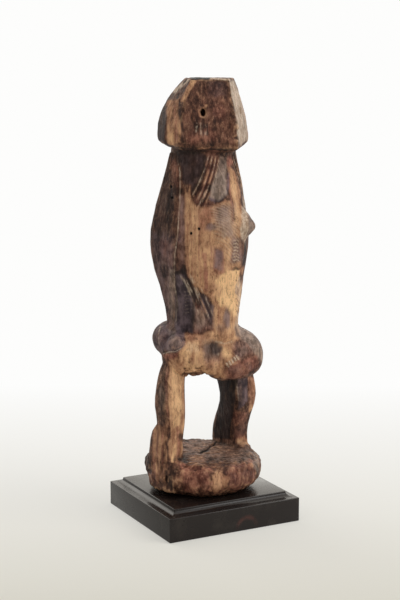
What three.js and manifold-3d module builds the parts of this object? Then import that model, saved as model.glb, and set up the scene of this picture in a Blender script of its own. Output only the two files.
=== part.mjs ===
// A carved wooden female figure, cut in one piece with its round base, standing on a moulded black plinth.
// Millimetres, +Z up. The origin is the middle of the plinth's underside, and the plinth's front faces -Y.
import * as THREE from 'three';
import { mergeVertices } from 'three/addons/utils/BufferGeometryUtils.js';
import Module from 'manifold-3d';

const wasm = await Module();
wasm.setup();

// The plinth: a slab with a hollow moulding that rises to a smaller top.
const PLINTH_WIDTH = 140;
const PLINTH_DEPTH = 133.7;
const PLINTH_HEIGHT = 28.7;
const SLAB_HEIGHT = 23.4;
const TOP_INSET = 9.6;
const LIP_WIDTH = 2.2;
const CORNER_RADIUS = 1.4;
const FOOT_EDGE = 0.8;
const BEAD_HEIGHT = 0.9;
const COVE_STEPS = 7;
const CORNER_STEPS = 3;

// The figure is turned a little on its plinth, and rests on it with a hair's gap.
const FIGURE_TURN = THREE.MathUtils.degToRad(12.3);
const RESTING_GAP = 0.3;
const FIGURE_FOOT = PLINTH_HEIGHT + RESTING_GAP;

// Heights above the floor of the figure's main levels.
const CROWN = 424;
const BRIM = 368;
const CHIN = 357.5;
const WAIST = 190;
const BASE_TOP = 61.5;

// In the figure's own frame +X is its left, -Y its front. Depths to the front and back are positive.
// Each station gives a height and the sizes there. Sizes between stations follow a smooth curve.

// The round base: its widest ring is low down and its underside is cut in.
const BASE_STATIONS = [
  { z: FIGURE_FOOT, radius: 39 },
  { z: 32, radius: 46 },
  { z: 36, radius: 51.4 },
  { z: 41, radius: 55.2 },
  { z: 48, radius: 56.8 },
  { z: 54, radius: 56.2 },
  { z: 58.6, radius: 53.4 },
  { z: BASE_TOP, radius: 46 },
];
const BASE_TOP_RISE = 1.4;
const BASE_MIDDLE_RADIUS = 20;

const TORSO_STATIONS = [
  { z: 178, side: 34.4, front: 33.6, back: 34 },
  { z: WAIST, side: 31, front: 34.5, back: 33 },
  { z: 213, side: 33, front: 36.5, back: 36 },
  { z: 241, side: 36.6, front: 41, back: 40 },
  { z: 269, side: 40, front: 45.4, back: 43 },
  { z: 288, side: 39.2, front: 45, back: 43 },
  { z: 304, side: 36.5, front: 42.5, back: 41 },
  { z: 332, side: 32.5, front: 36.6, back: 36 },
  { z: CHIN, side: 29.2, front: 30.4, back: 30 },
  { z: 372, side: 28, front: 29, back: 29 },
];
const TORSO_SQUARENESS = 2.1;

// An arm is a broad flat band along the side, widest at the elbow: how far out its face stands,
// and where its front and back edges lie, counted forwards from the figure's axis.
const ARM_STATIONS = [
  { z: 172, outer: 46.5, front: 15, back: -4 },
  { z: 186, outer: 39.5, front: 7, back: -9 },
  { z: 199, outer: 36.2, front: 1.2, back: -14 },
  { z: 225, outer: 39, front: 2.4, back: -20.5 },
  { z: 250, outer: 42, front: 7, back: -28 },
  { z: 270, outer: 43, front: 12.5, back: -31.5 },
  { z: 290, outer: 41.6, front: 12.5, back: -30 },
  { z: 320, outer: 36.8, front: 10, back: -23.5 },
  { z: 341, outer: 33.2, front: 6.5, back: -18 },
  { z: 355, outer: 29.6, front: -8, back: -15.5 },
];
const ARM_THICKNESS = 17;
const ARM_SQUARENESS = 4.6;

// The legs are bent a little at the knee and cut differently, the left one heavier. The right one runs on
// down the side of the base.
const RIGHT_LEG = [
  { z: 34, inner: 28, outer: 55, front: 19, back: -22 },
  { z: 50, inner: 30, outer: 55.2, front: 16, back: -22.6 },
  { z: 66, inner: 30.4, outer: 54.4, front: 12, back: -22 },
  { z: 77, inner: 29.6, outer: 53.6, front: 10.6, back: -20.8 },
  { z: 87, inner: 28, outer: 53, front: 10, back: -19.4 },
  { z: 98, inner: 27.6, outer: 53, front: 10.6, back: -8.8 },
  { z: 113, inner: 28.4, outer: 55.4, front: 12.6, back: -11 },
  { z: 135, inner: 29, outer: 54.2, front: 11.6, back: -9 },
  { z: 155, inner: 26, outer: 50, front: 9, back: -6 },
  { z: 170, inner: 24, outer: 40, front: 6, back: -5 },
];
const LEFT_LEG = [
  { z: 50, inner: 29.6, outer: 54.5, front: 12, back: -28 },
  { z: 66, inner: 30, outer: 53.7, front: 11, back: -27.4 },
  { z: 77, inner: 30.4, outer: 53.7, front: 10.4, back: -26.4 },
  { z: 87, inner: 30.8, outer: 55.2, front: 11.6, back: -23.6 },
  { z: 98, inner: 29.6, outer: 57, front: 14.6, back: -18 },
  { z: 113, inner: 27.4, outer: 59, front: 17.8, back: -13 },
  { z: 135, inner: 27.6, outer: 57, front: 15.4, back: -21 },
  { z: 155, inner: 25, outer: 51, front: 11, back: -20 },
  { z: 170, inner: 22, outer: 42, front: 8, back: -14 },
];
const LEG_SQUARENESS = 3.4;

// Low feet in front of the ankles, and the round masses of the hips: buttocks behind, thighs in front.
// The front of the right thigh is worn down flat, a hollow is cut across the left one, and a shallow dip
// is left between them below the belly.
const FOOT = { x: 42, forward: 8, z: 58, halfWidth: 10, halfLength: 16, halfHeight: 8 };
const BUTTOCK = { x: 26.5, forward: -9, z: 176, halfWidth: 21.5, halfLength: 25, halfHeight: 18, tilt: 8 };
const LEFT_THIGH = {
  x: 25.5, forward: 14, z: 160, halfWidth: 27.5, halfLength: 32, halfHeight: 25, tilt: 8, squareness: 2.15,
};
const RIGHT_THIGH = {
  x: -23, forward: 7, z: 165.5, halfWidth: 26.4, halfLength: 20.5, halfHeight: 20.5,
  turn: -39, squareness: 2.8,
};
const THIGH_HOLLOW = {
  x: 14, forward: 46.6, z: 165.6, halfWidth: 13, halfLength: 6.6, halfHeight: 6.4, turn: -24,
};
const LAP = {
  x: -2, forward: 17.5, z: 165.5, halfWidth: 16, halfLength: 13.4, halfHeight: 23, squareness: 3,
};
const CROTCH = { x: 6, forward: 17, z: 146.5, halfWidth: 13, halfLength: 14, halfHeight: 9.5 };
const HIP_CORE = { side: 39, front: 22, back: 30, bottom: 144.5, top: 184 };
const HIP_SQUARENESS = 2.4;

// The hands are knobs on the hips: the right one at the side with its finger ends below, the left in front.
const RIGHT_HAND = {
  x: -42.5, forward: 12, z: 176, halfWidth: 8.6, halfLength: 10, halfHeight: 9.6, tilt: 20, squareness: 2.5,
};
const RIGHT_FINGERS = { x: -41, forward: 12.5, z: 162.6, halfWidth: 7, halfLength: 8, halfHeight: 5.5 };
const LEFT_HAND = { x: 6.5, forward: 35, z: 158, halfWidth: 9, halfLength: 5.5, halfHeight: 5, turn: -40 };

// The left breast is a blunt cone square to the chest. The right one is rubbed down to a low mound.
const LEFT_BREAST = { x: 16, z: 287.4, radius: 18, length: 11, root: 10, sink: 4.6, points: 18 };
const BREAST_FLANK = [[0.72, 0.03], [0.42, 0.46], [0.18, 0.86], [0, 1]];
const RIGHT_BREAST = {
  x: -14, forward: 37.7, z: 287.4, halfWidth: 14.5, halfLength: 6.3, halfHeight: 15.5, turn: -27,
};

// The head is a helmet of flat planes that meet in a ridge down the middle of the face.
// Its corners, as the half width and the distance forward, at the brim and at the crown.
const HEAD_CORNERS = [
  { brim: [0, 49.6], crown: [0, 36.4], curve: 1.2 },
  { brim: [43.6, 15.5], crown: [26.2, 13.6], curve: 1.5 },
  { brim: [43.4, -6], crown: [20, -2], curve: 2 },
  { brim: [34, -27], crown: [14, -9], curve: 2.2 },
  { brim: [13, -38.5], crown: [5, -14], curve: 2.2 },
];
const BRIM_DROP = 0.07;
const CHIN_LEVELS = [
  { z: 364.2, scale: 0.985 },
  { z: 361.4, scale: 0.9 },
  { z: 359.6, scale: 0.76 },
  { z: 358.4, scale: 0.5 },
];

// The drilled eyes, the hollow in the crown and the small nose and mouth on the ridge of the face.
const HEAD_HEIGHT = CROWN - CHIN;
const EYE = {
  z: CHIN + 0.56 * HEAD_HEIGHT, across: 0.6, width: 6, height: 9, depth: 9, points: 14, taper: 0.84,
};
const CROWN_HOLLOW = { x: -6, forward: 2, halfWidth: 8, halfLength: 15, halfHeight: 4.5 };
const NOSE_STATIONS = [
  { z: CHIN + 0.3 * HEAD_HEIGHT, halfWidth: 2.6, proud: -0.6 },
  { z: CHIN + 0.35 * HEAD_HEIGHT, halfWidth: 3.8, proud: 1.7 },
  { z: CHIN + 0.56 * HEAD_HEIGHT, halfWidth: 1.6, proud: -0.3 },
];
const NOSE_ROOT = 8;
const MOUTH = { z: CHIN + 0.2 * HEAD_HEIGHT, halfWidth: 6.8, halfLength: 3.8, halfHeight: 2.2 };

// Carved lines on the body, three above and three below each breast, as start and end points:
// how far across the front, and how high.
const UPPER_LINES = [
  { from: [14, 356], through: [21.6, 335.5], to: [30, 314.5] },
  { from: [11.2, 356], through: [18.4, 333.5], to: [28.6, 308.5] },
  { from: [8, 356], through: [15.6, 331], to: [29.5, 302] },
];
const LOWER_LINES = [
  { from: [35.6, 247], through: [29.3, 224], to: [22.6, 204] },
  { from: [33.8, 243], through: [26.5, 221], to: [18.8, 198] },
  { from: [29.6, 235], through: [21.5, 217], to: [15, 199.5] },
];
const LINE = { halfWidth: 1.5, depth: 1.1, above: 1.4, steps: 6 };

// The base is split at its edge.
const BASE_SPLIT = {
  halfWidth: 2.2, halfLength: 12, halfHeight: 13, z: 38, angle: THREE.MathUtils.degToRad(-79),
};
const BASE_SPLIT_TAPER = 0.3;
const WIDEST_BASE = 4;

const UPRIGHT = new THREE.Vector3(0, 1, 0);

// How finely each kind of form is divided.
const BODY_POINTS = 36;
const LIMB_POINTS = 16;
const BASE_LEVELS = 9;
const TORSO_LEVELS = 18;
const LIMB_LEVELS = 15;
const HIP_LEVELS = 4;
const HEAD_LEVELS = 11;
const LARGE_MASS = { around: 24, up: 14 };
const SMALL_MASS = { around: 14, up: 8 };

// One closed body through rings of points that follow one another.
function loft(rings) {
  const count = rings[0].length;
  const points = rings.flat();
  const indices = [];
  for (let level = 0; level < rings.length - 1; level += 1) {
    for (let i = 0; i < count; i += 1) {
      const here = level * count + i;
      const next = level * count + ((i + 1) % count);
      indices.push(here, next, next + count, here, next + count, here + count);
    }
  }
  const topRing = (rings.length - 1) * count;
  const bottomMiddle = points.length;
  points.push(middleOf(rings[0]), middleOf(rings[rings.length - 1]));
  for (let i = 0; i < count; i += 1) {
    const next = (i + 1) % count;
    indices.push(bottomMiddle, next, i, bottomMiddle + 1, topRing + i, topRing + next);
  }
  if (volumeInside(points, indices) < 0) indices.reverse();
  const geometry = new THREE.BufferGeometry().setFromPoints(points);
  geometry.setIndex(indices);
  return geometry;
}

// The volume inside a closed mesh, which is negative where its faces point inwards.
function volumeInside(points, indices) {
  let sixfold = 0;
  for (let i = 0; i < indices.length; i += 3) {
    const [a, b, c] = [points[indices[i]], points[indices[i + 1]], points[indices[i + 2]]];
    sixfold += a.dot(b.clone().cross(c));
  }
  return sixfold / 6;
}

function middleOf(ring) {
  const middle = new THREE.Vector3();
  ring.forEach((point) => middle.add(point));
  return middle.divideScalar(ring.length);
}

// The named sizes at any height between the stations.
function sizesBetween(stations) {
  const names = Object.keys(stations[0]).filter((name) => name !== 'z');
  const heights = stations.map((station) => station.z);
  const values = stations.flatMap((station) => names.map((name) => station[name]));
  const curve = new THREE.CubicInterpolant(heights, values, names.length);
  return (z) => {
    const found = curve.evaluate(z);
    return Object.fromEntries(names.map((name, i) => [name, found[i]]));
  };
}

function heightsFrom(low, high, steps) {
  return Array.from({ length: steps + 1 }, (_, i) => THREE.MathUtils.lerp(low, high, i / steps));
}

function roundedPower(value, squareness) {
  return Math.sign(value) * Math.abs(value) ** (2 / squareness);
}

// A rounded section: 2 is an ellipse, and larger numbers are squarer.
function sectionRing(z, section, count, squareness = 2) {
  const { x = 0, side, front, back } = section;
  return Array.from({ length: count }, (_, i) => {
    const angle = (2 * Math.PI * i) / count;
    const across = roundedPower(Math.cos(angle), squareness);
    const along = roundedPower(Math.sin(angle), squareness);
    return new THREE.Vector3(x + side * across, along * (along > 0 ? back : front), z);
  });
}

function solidOf(geometry) {
  const bare = geometry.clone();
  bare.deleteAttribute('normal');
  bare.deleteAttribute('uv');
  const merged = mergeVertices(bare, 1e-4);
  const mesh = new wasm.Mesh({
    numProp: 3,
    vertProperties: new Float32Array(merged.attributes.position.array),
    triVerts: new Uint32Array(merged.index.array),
  });
  return new wasm.Manifold(mesh);
}

function geometryOf(solid) {
  const mesh = solid.getMesh();
  const geometry = new THREE.BufferGeometry();
  geometry.setAttribute('position', new THREE.BufferAttribute(mesh.vertProperties, 3));
  geometry.setIndex(new THREE.BufferAttribute(mesh.triVerts, 1));
  geometry.computeVertexNormals();
  return geometry;
}

// A rounded mass placed by its middle. A positive tilt lowers its front, a positive turn swings its front
// to the figure's left, and a squareness above 2 flattens its faces.
function roundedMass(mass, { around, up }, side = 1) {
  const { x, forward, z, halfWidth, halfLength, halfHeight, tilt = 0, turn = 0, squareness = 2 } = mass;
  const geometry = new THREE.SphereGeometry(1, around, up);
  geometry.rotateX(Math.PI / 2);
  const places = geometry.attributes.position;
  for (let i = 0; i < places.count; i += 1) {
    const place = new THREE.Vector3().fromBufferAttribute(places, i);
    const reach = [...place].reduce((sum, value) => sum + Math.abs(value) ** squareness, 0);
    place.divideScalar(reach ** (1 / squareness));
    places.setXYZ(i, ...place);
  }
  geometry.scale(halfWidth, halfLength, halfHeight);
  geometry.rotateX(THREE.MathUtils.degToRad(tilt));
  geometry.rotateZ(THREE.MathUtils.degToRad(turn));
  geometry.translate(side * x, -forward, z);
  return geometry;
}

function base() {
  const sizes = sizesBetween(BASE_STATIONS);
  const rings = heightsFrom(FIGURE_FOOT, BASE_TOP, BASE_LEVELS).map((z) => {
    const { radius } = sizes(z);
    return sectionRing(z, { side: radius, front: radius, back: radius }, BODY_POINTS);
  });
  const middle = { side: BASE_MIDDLE_RADIUS, front: BASE_MIDDLE_RADIUS, back: BASE_MIDDLE_RADIUS };
  rings.push(sectionRing(BASE_TOP + BASE_TOP_RISE, middle, BODY_POINTS));
  return loft(rings);
}

const torsoSizes = sizesBetween(TORSO_STATIONS);

function torso() {
  const low = TORSO_STATIONS[0].z;
  const high = TORSO_STATIONS[TORSO_STATIONS.length - 1].z;
  const ringAt = (z) => sectionRing(z, torsoSizes(z), BODY_POINTS, TORSO_SQUARENESS);
  return loft(heightsFrom(low, high, TORSO_LEVELS).map(ringAt));
}

// The point on the torso's front at a height and a distance across, and the way the surface faces there.
function torsoFront(x, z) {
  const { side, front } = torsoSizes(z);
  const share = Math.min(Math.abs(x) / side, 0.98);
  const along = (1 - share ** TORSO_SQUARENESS) ** (1 / TORSO_SQUARENESS);
  const point = new THREE.Vector3(Math.sign(x) * share * side, -front * along, z);
  const facing = new THREE.Vector3((Math.sign(x) * share) / side, -along / front, 0).normalize();
  return { point, facing };
}

// A limb through stations that give its inner, outer, front and back faces.
function limb(stations, side, squareness) {
  const sizes = sizesBetween(stations);
  const rings = heightsFrom(stations[0].z, stations[stations.length - 1].z, LIMB_LEVELS).map((z) => {
    const { inner, outer, front, back } = sizes(z);
    const reach = (front - back) / 2;
    const middle = (side * (inner + outer)) / 2;
    const section = { x: middle, side: (outer - inner) / 2, front: reach, back: reach };
    const ring = sectionRing(z, section, LIMB_POINTS, squareness);
    ring.forEach((point) => {
      point.y -= (front + back) / 2;
    });
    return ring;
  });
  return loft(rings);
}

function arm(side) {
  const stations = ARM_STATIONS.map((station) => ({ ...station, inner: station.outer - ARM_THICKNESS }));
  return limb(stations, side, ARM_SQUARENESS);
}

function leg(side) {
  return limb(side > 0 ? LEFT_LEG : RIGHT_LEG, side, LEG_SQUARENESS);
}

// A blunt cone set square to the chest, rooted inside it.
function leftBreast() {
  const { x, z, radius, length, root, sink, points } = LEFT_BREAST;
  const { point, facing } = torsoFront(x, z);
  const profile = [
    new THREE.Vector2(0, -root),
    new THREE.Vector2(radius, -root),
    new THREE.Vector2(radius, -sink),
    ...BREAST_FLANK.map(([out, up]) => new THREE.Vector2(out * radius, up * length)),
  ];
  const geometry = new THREE.LatheGeometry(profile, points);
  geometry.applyQuaternion(new THREE.Quaternion().setFromUnitVectors(UPRIGHT, facing));
  geometry.translate(...point);
  return geometry;
}

function hips() {
  const heights = heightsFrom(HIP_CORE.bottom, HIP_CORE.top, HIP_LEVELS);
  const core = loft(heights.map((z) => sectionRing(z, HIP_CORE, BODY_POINTS, HIP_SQUARENESS)));
  return solidOf(core)
    .add(solidOf(roundedMass(BUTTOCK, LARGE_MASS, -1)))
    .add(solidOf(roundedMass(BUTTOCK, LARGE_MASS, 1)))
    .add(solidOf(roundedMass(RIGHT_THIGH, LARGE_MASS)))
    .add(solidOf(roundedMass(LEFT_THIGH, LARGE_MASS)))
    .subtract(solidOf(roundedMass(THIGH_HOLLOW, SMALL_MASS)))
    .add(solidOf(roundedMass(LAP, SMALL_MASS)))
    .add(solidOf(roundedMass(CROTCH, SMALL_MASS)))
    .add(solidOf(roundedMass(LEFT_HAND, SMALL_MASS)))
    .add(solidOf(roundedMass(RIGHT_HAND, SMALL_MASS)))
    .add(solidOf(roundedMass(RIGHT_FINGERS, SMALL_MASS)));
}

// The head's outline at one height, from the ridge round by its left and right back to the ridge.
function headRing(z) {
  const drop = THREE.MathUtils.clamp((CROWN - z) / (CROWN - BRIM), 0, 1);
  const corners = HEAD_CORNERS.map(({ brim, crown, curve }) => {
    const share = 1 - (1 - drop) ** curve;
    const across = THREE.MathUtils.lerp(crown[0], brim[0], share);
    const forward = THREE.MathUtils.lerp(crown[1], brim[1], share);
    return new THREE.Vector3(across, -forward, z - BRIM_DROP * drop * forward);
  });
  const mirrored = corners.slice(1).reverse().map((point) => new THREE.Vector3(-point.x, point.y, point.z));
  return [...corners, ...mirrored];
}

function head() {
  const rings = heightsFrom(BRIM, CROWN, HEAD_LEVELS).map(headRing);
  const brim = rings[0];
  CHIN_LEVELS.forEach(({ z, scale }) => {
    const ring = brim.map((point) => {
      const height = z + (point.z - BRIM) * scale;
      return new THREE.Vector3(point.x * scale, point.y * scale, height);
    });
    rings.unshift(ring);
  });
  return loft(rings);
}

// A drill hole square to a cheek plane, at the eye's height.
function eyeHole(side) {
  const [ridge, cheek] = headRing(EYE.z);
  const centre = ridge.clone().lerp(cheek, EYE.across);
  const facing = new THREE.Vector3(cheek.y - ridge.y, ridge.x - cheek.x, 0).normalize();
  facing.x *= side;
  const geometry = new THREE.CylinderGeometry(0.5, 0.5 * EYE.taper, EYE.depth * 2, EYE.points);
  geometry.scale(EYE.width, 1, EYE.height);
  geometry.applyQuaternion(new THREE.Quaternion().setFromUnitVectors(UPRIGHT, facing));
  geometry.translate(side * centre.x, centre.y, centre.z);
  return geometry;
}

// How far forward the ridge of the face stands at a height.
function ridgeForward(z) {
  return -headRing(z)[0].y;
}

// A low wedge down the ridge of the face, widest near its foot.
function nose() {
  return loft(NOSE_STATIONS.map(({ z, halfWidth, proud }) => {
    const outline = [
      [-halfWidth, NOSE_ROOT],
      [-halfWidth, halfWidth / 2],
      [-halfWidth / 2, -proud],
      [halfWidth / 2, -proud],
      [halfWidth, halfWidth / 2],
      [halfWidth, NOSE_ROOT],
    ];
    return outline.map(([across, behind]) => new THREE.Vector3(across, behind - ridgeForward(z), z));
  }));
}

// A three-sided blade that cuts one carved line along the torso's front.
function carvedLine({ from, through, to }, side) {
  const path = new THREE.QuadraticBezierCurve(
    new THREE.Vector2(...from),
    new THREE.Vector2(...through),
    new THREE.Vector2(...to),
  );
  const places = path.getPoints(LINE.steps).map(({ x, y }) => torsoFront(side * x, y));
  const rings = places.map(({ point, facing }, i) => {
    const before = places[Math.max(i - 1, 0)].point;
    const after = places[Math.min(i + 1, LINE.steps)].point;
    const aside = after.clone().sub(before).cross(facing).normalize();
    const outside = point.clone().addScaledVector(facing, LINE.above);
    return [
      outside.clone().addScaledVector(aside, LINE.halfWidth),
      outside.clone().addScaledVector(aside, -LINE.halfWidth),
      point.clone().addScaledVector(facing, -LINE.depth),
    ];
  });
  return loft(rings);
}

function figure() {
  let body = hips();
  const add = (geometry) => {
    body = body.add(solidOf(geometry));
  };
  const cut = (geometry) => {
    body = body.subtract(solidOf(geometry));
  };
  add(torso());
  add(leftBreast());
  add(roundedMass(RIGHT_BREAST, SMALL_MASS));
  [...UPPER_LINES, ...LOWER_LINES].forEach((line) => {
    cut(carvedLine(line, 1));
    cut(carvedLine(line, -1));
  });
  [-1, 1].forEach((side) => {
    add(leg(side));
    add(roundedMass(FOOT, SMALL_MASS, side));
    add(arm(side));
  });
  add(base());
  add(head());
  add(nose());
  cut(roundedMass({ ...MOUTH, x: 0, forward: ridgeForward(MOUTH.z) }, SMALL_MASS));
  cut(roundedMass({ ...CROWN_HOLLOW, z: CROWN }, SMALL_MASS));
  cut(eyeHole(1));
  cut(eyeHole(-1));
  cut(baseSplit());
  return geometryOf(body);
}

// A wedge-shaped split in the edge of the base.
function baseSplit() {
  const { halfWidth, halfLength, halfHeight, z, angle } = BASE_SPLIT;
  const rim = BASE_STATIONS[WIDEST_BASE].radius;
  const geometry = new THREE.CylinderGeometry(1, BASE_SPLIT_TAPER, 2 * halfHeight, 3);
  geometry.scale(halfWidth, 1, halfLength);
  geometry.rotateX(Math.PI / 2);
  geometry.translate(0, -rim, z);
  geometry.rotateZ(angle);
  return geometry;
}

function rectangleRing(inset, z) {
  const halfWidth = PLINTH_WIDTH / 2 - inset;
  const halfDepth = PLINTH_DEPTH / 2 - inset;
  const corners = [[1, -1], [1, 1], [-1, 1], [-1, -1]];
  return corners.flatMap(([right, back], index) => {
    const centreX = right * (halfWidth - CORNER_RADIUS);
    const centreY = back * (halfDepth - CORNER_RADIUS);
    return heightsFrom(0, 1, CORNER_STEPS).map((share) => {
      const angle = (index - 1 + share) * (Math.PI / 2);
      const x = centreX + CORNER_RADIUS * Math.cos(angle);
      const y = centreY + CORNER_RADIUS * Math.sin(angle);
      return new THREE.Vector3(x, y, z);
    });
  });
}

// The plinth's side from the floor up, as insets: foot edge, upright slab, flat lip, hollow and top bead.
function plinth() {
  const rings = [rectangleRing(FOOT_EDGE, 0), rectangleRing(0, FOOT_EDGE), rectangleRing(0, SLAB_HEIGHT)];
  const coveRise = PLINTH_HEIGHT - BEAD_HEIGHT - SLAB_HEIGHT;
  const coveRun = TOP_INSET - LIP_WIDTH;
  heightsFrom(0, Math.PI / 2, COVE_STEPS).forEach((angle) => {
    const inset = LIP_WIDTH + coveRun * Math.sin(angle);
    rings.push(rectangleRing(inset, SLAB_HEIGHT + coveRise * (1 - Math.cos(angle))));
  });
  rings.push(rectangleRing(TOP_INSET, PLINTH_HEIGHT));
  return loft(rings);
}

const wood = new THREE.MeshStandardMaterial({ color: 0x8a6244, roughness: 0.72, metalness: 0 });
const blackWood = new THREE.MeshStandardMaterial({ color: 0x2b2725, roughness: 0.42, metalness: 0 });

const figureMesh = new THREE.Mesh(figure(), wood);
figureMesh.name = 'female_figure';
figureMesh.rotation.z = FIGURE_TURN;

const plinthMesh = new THREE.Mesh(plinth(), blackWood);
plinthMesh.name = 'plinth';

const part = new THREE.Group();
part.add(figureMesh, plinthMesh);

export default part;
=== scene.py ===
"""A worn wooden female figure, carved in one piece with its round base, on a black moulded plinth."""
import logging
import math
from collections.abc import Callable, Sequence
from dataclasses import dataclass, field
from enum import Enum

import bmesh
import bpy
import numpy as np
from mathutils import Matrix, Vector


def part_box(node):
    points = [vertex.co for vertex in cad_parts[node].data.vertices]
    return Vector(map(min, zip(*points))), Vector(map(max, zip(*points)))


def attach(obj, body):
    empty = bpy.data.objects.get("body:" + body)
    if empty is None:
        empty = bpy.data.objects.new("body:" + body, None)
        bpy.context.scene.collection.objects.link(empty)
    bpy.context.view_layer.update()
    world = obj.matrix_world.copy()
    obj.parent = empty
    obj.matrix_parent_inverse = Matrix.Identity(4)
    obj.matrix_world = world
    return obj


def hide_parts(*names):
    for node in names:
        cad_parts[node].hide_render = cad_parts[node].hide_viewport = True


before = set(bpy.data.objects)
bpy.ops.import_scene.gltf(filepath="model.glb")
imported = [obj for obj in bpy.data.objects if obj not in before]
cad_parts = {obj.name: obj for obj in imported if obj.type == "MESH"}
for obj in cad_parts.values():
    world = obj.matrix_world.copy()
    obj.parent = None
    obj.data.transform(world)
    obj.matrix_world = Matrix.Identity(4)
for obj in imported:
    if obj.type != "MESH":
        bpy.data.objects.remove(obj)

LOG = logging.getLogger("figure")
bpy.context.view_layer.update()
MM = 0.001
TURN = math.radians(12.3)
Path = tuple[tuple[float, float], ...]
Shade = tuple[tuple[float, ...], tuple[float, ...]]
Socket = bpy.types.NodeSocket


def linear(red: float, green: float, blue: float) -> tuple[float, float, float, float]:
    """Turns a colour into what a shader socket takes.

    Args:
        red: 0 to 255, as are green and blue.

    Returns:
        The colour in linear light, opaque.
    """
    parts = [(part / 255 + 0.055) / 1.055 for part in (red, green, blue)]
    return (*[part ** 2.4 if part > 0.09 else part * 1.055 / 12.92 for part in parts], 1.0)


def ramp(values: np.ndarray, low: float, high: float) -> np.ndarray:
    """Rises smoothly from 0 at low to 1 at high, or falls where low is the larger."""
    share = np.clip((values - low) / (high - low), 0, 1)
    return share * share * (3 - 2 * share)


def lattice(cells: np.ndarray, seed: int) -> np.ndarray:
    """Gives each whole-numbered cell its own random value from 0 to 1."""
    mixed = cells[:, 0] * 73856093 ^ cells[:, 1] * 19349663 ^ cells[:, 2] * 83492791 ^ seed * 26544357
    mixed = (mixed ^ (mixed >> 13)) * 1274126177 & 0x7FFFFFFF
    return ((mixed ^ (mixed >> 15)) & 0xFFFF) / 65535


def ripple(points: np.ndarray, size: float | Sequence[float], seed: int) -> np.ndarray:
    """Smooth seeded noise.

    Args:
        points: places in millimetres, one to a row.
        size: the length of one ripple, or one length for each axis.
        seed: chooses the pattern.

    Returns:
        A value from -1 to 1 for each place.
    """
    cell = points / np.asarray(size, float) + 1000.5
    base = np.floor(cell).astype(np.int64)
    part = cell - base
    part = part * part * (3 - 2 * part)
    total = np.zeros(len(points))
    for corner in np.ndindex(2, 2, 2):
        weight = np.prod(np.where(corner, part, 1 - part), axis=1)
        total += weight * lattice(base + np.array(corner), seed)
    return 2 * total - 1


def scallops(points: np.ndarray, size: Sequence[float], seed: int) -> np.ndarray:
    """The marks of a blade: shallow cuts side by side, with a crest between each and the next.

    Args:
        points: places in millimetres.
        size: the length of one cut along each axis.
        seed: chooses the pattern.

    Returns:
        0 in the middle of a cut, rising to about 1 at its crests.
    """
    cell = points / np.asarray(size, float) + 1000.5
    base = np.floor(cell).astype(np.int64)
    nearest = np.full(len(points), 9.0)
    for step in np.ndindex(3, 3, 3):
        home = base + np.array(step) - 1
        jitter = np.stack([lattice(home, seed + axis) for axis in range(3)], axis=1)
        nearest = np.minimum(nearest, ((home + jitter - cell) ** 2).sum(axis=1))
    return np.clip(nearest * 1.4, 0, 1)


def path_distance(places: np.ndarray, path: Path) -> tuple[np.ndarray, np.ndarray]:
    """Measures places against a path of straight stretches.

    Args:
        places: two coordinates for each point.
        path: the path's corners, in the same coordinates.

    Returns:
        Each point's distance from the path, and how far along the path it lies, from 0 to 1.
    """
    corners = np.asarray(path, float)
    lengths = np.linalg.norm(np.diff(corners, axis=0), axis=1)
    nearest = np.full(len(places), 1e9)
    along = np.zeros(len(places))
    done = 0.0
    for start, end, length in zip(corners[:-1], corners[1:], lengths):
        share = np.clip(((places - start) @ (end - start)) / length ** 2, 0, 1)
        gap = np.linalg.norm(places - start - share[:, None] * (end - start), axis=1)
        closer = gap < nearest
        nearest[closer] = gap[closer]
        along[closer] = (done + share[closer] * length) / lengths.sum()
        done += length
    return nearest, along


def only(piece: bpy.types.Object) -> None:
    """Makes one object the whole selection and the active one."""
    bpy.ops.object.select_all(action="DESELECT")
    piece.select_set(True)
    bpy.context.view_layer.objects.active = piece


def apply_modifier(piece: bpy.types.Object, kind: str, **settings: object) -> None:
    """Adds a modifier with its settings and applies it."""
    only(piece)
    bpy.ops.object.modifier_add(type=kind)
    modifier = piece.modifiers[-1]
    for name, value in settings.items():
        setattr(modifier, name, value)
    bpy.ops.object.modifier_apply(modifier=modifier.name)


@dataclass(frozen=True)
class Lens:
    """The camera: where it stands, and what part of the object lands where in its 400 by 600 frame."""

    place: tuple[float, float, float] = (-0.6614, -1.2526, 0.4780)
    heading: float = math.atan2(0.8853, 0.4650)
    pitch: float = math.radians(10.61)
    focal: float = 1500.0
    centre: tuple[float, float] = (200.0, 300.0)

    def axes(self) -> tuple[np.ndarray, np.ndarray, np.ndarray]:
        """Returns the directions to the right, up and forwards."""
        flat = np.array([math.cos(self.heading), math.sin(self.heading), 0.0])
        right = np.array([flat[1], -flat[0], 0.0])
        ahead = flat * math.cos(self.pitch) - np.array([0, 0, math.sin(self.pitch)])
        return right, np.cross(right, ahead), ahead

    def frame_places(self, points: np.ndarray) -> np.ndarray:
        """Finds where points in metres show in the frame.

        Args:
            points: places in the row frame.

        Returns:
            Across and down, in pixels.
        """
        right, up, ahead = self.axes()
        away = points - np.array(self.place)
        depth = away @ ahead
        across = self.centre[0] + self.focal * (away @ right) / depth
        return np.stack([across, self.centre[1] - self.focal * (away @ up) / depth], axis=1)

    def build(self) -> bpy.types.Object:
        """Adds the camera and makes it the scene's."""
        bpy.ops.object.camera_add(location=self.place)
        camera = bpy.context.object
        ahead = Vector(self.axes()[2])
        camera.rotation_euler = ahead.to_track_quat("-Z", "Y").to_euler()
        camera.data.lens = self.focal / 600 * 36
        camera.data.sensor_width = 36
        camera.data.clip_start, camera.data.clip_end = 0.05, 50
        bpy.context.scene.camera = camera
        return camera


class Tone(Enum):
    """What the wood's surface shows at a place. Each is kept on the piece as an attribute."""

    BARE = "bare"
    DARK = "dark"
    RED = "red"
    GREY = "grey"
    COOL = "cool"
    PALE = "pale"
    PIT = "pit"
    HATCH = "hatch"


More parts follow.
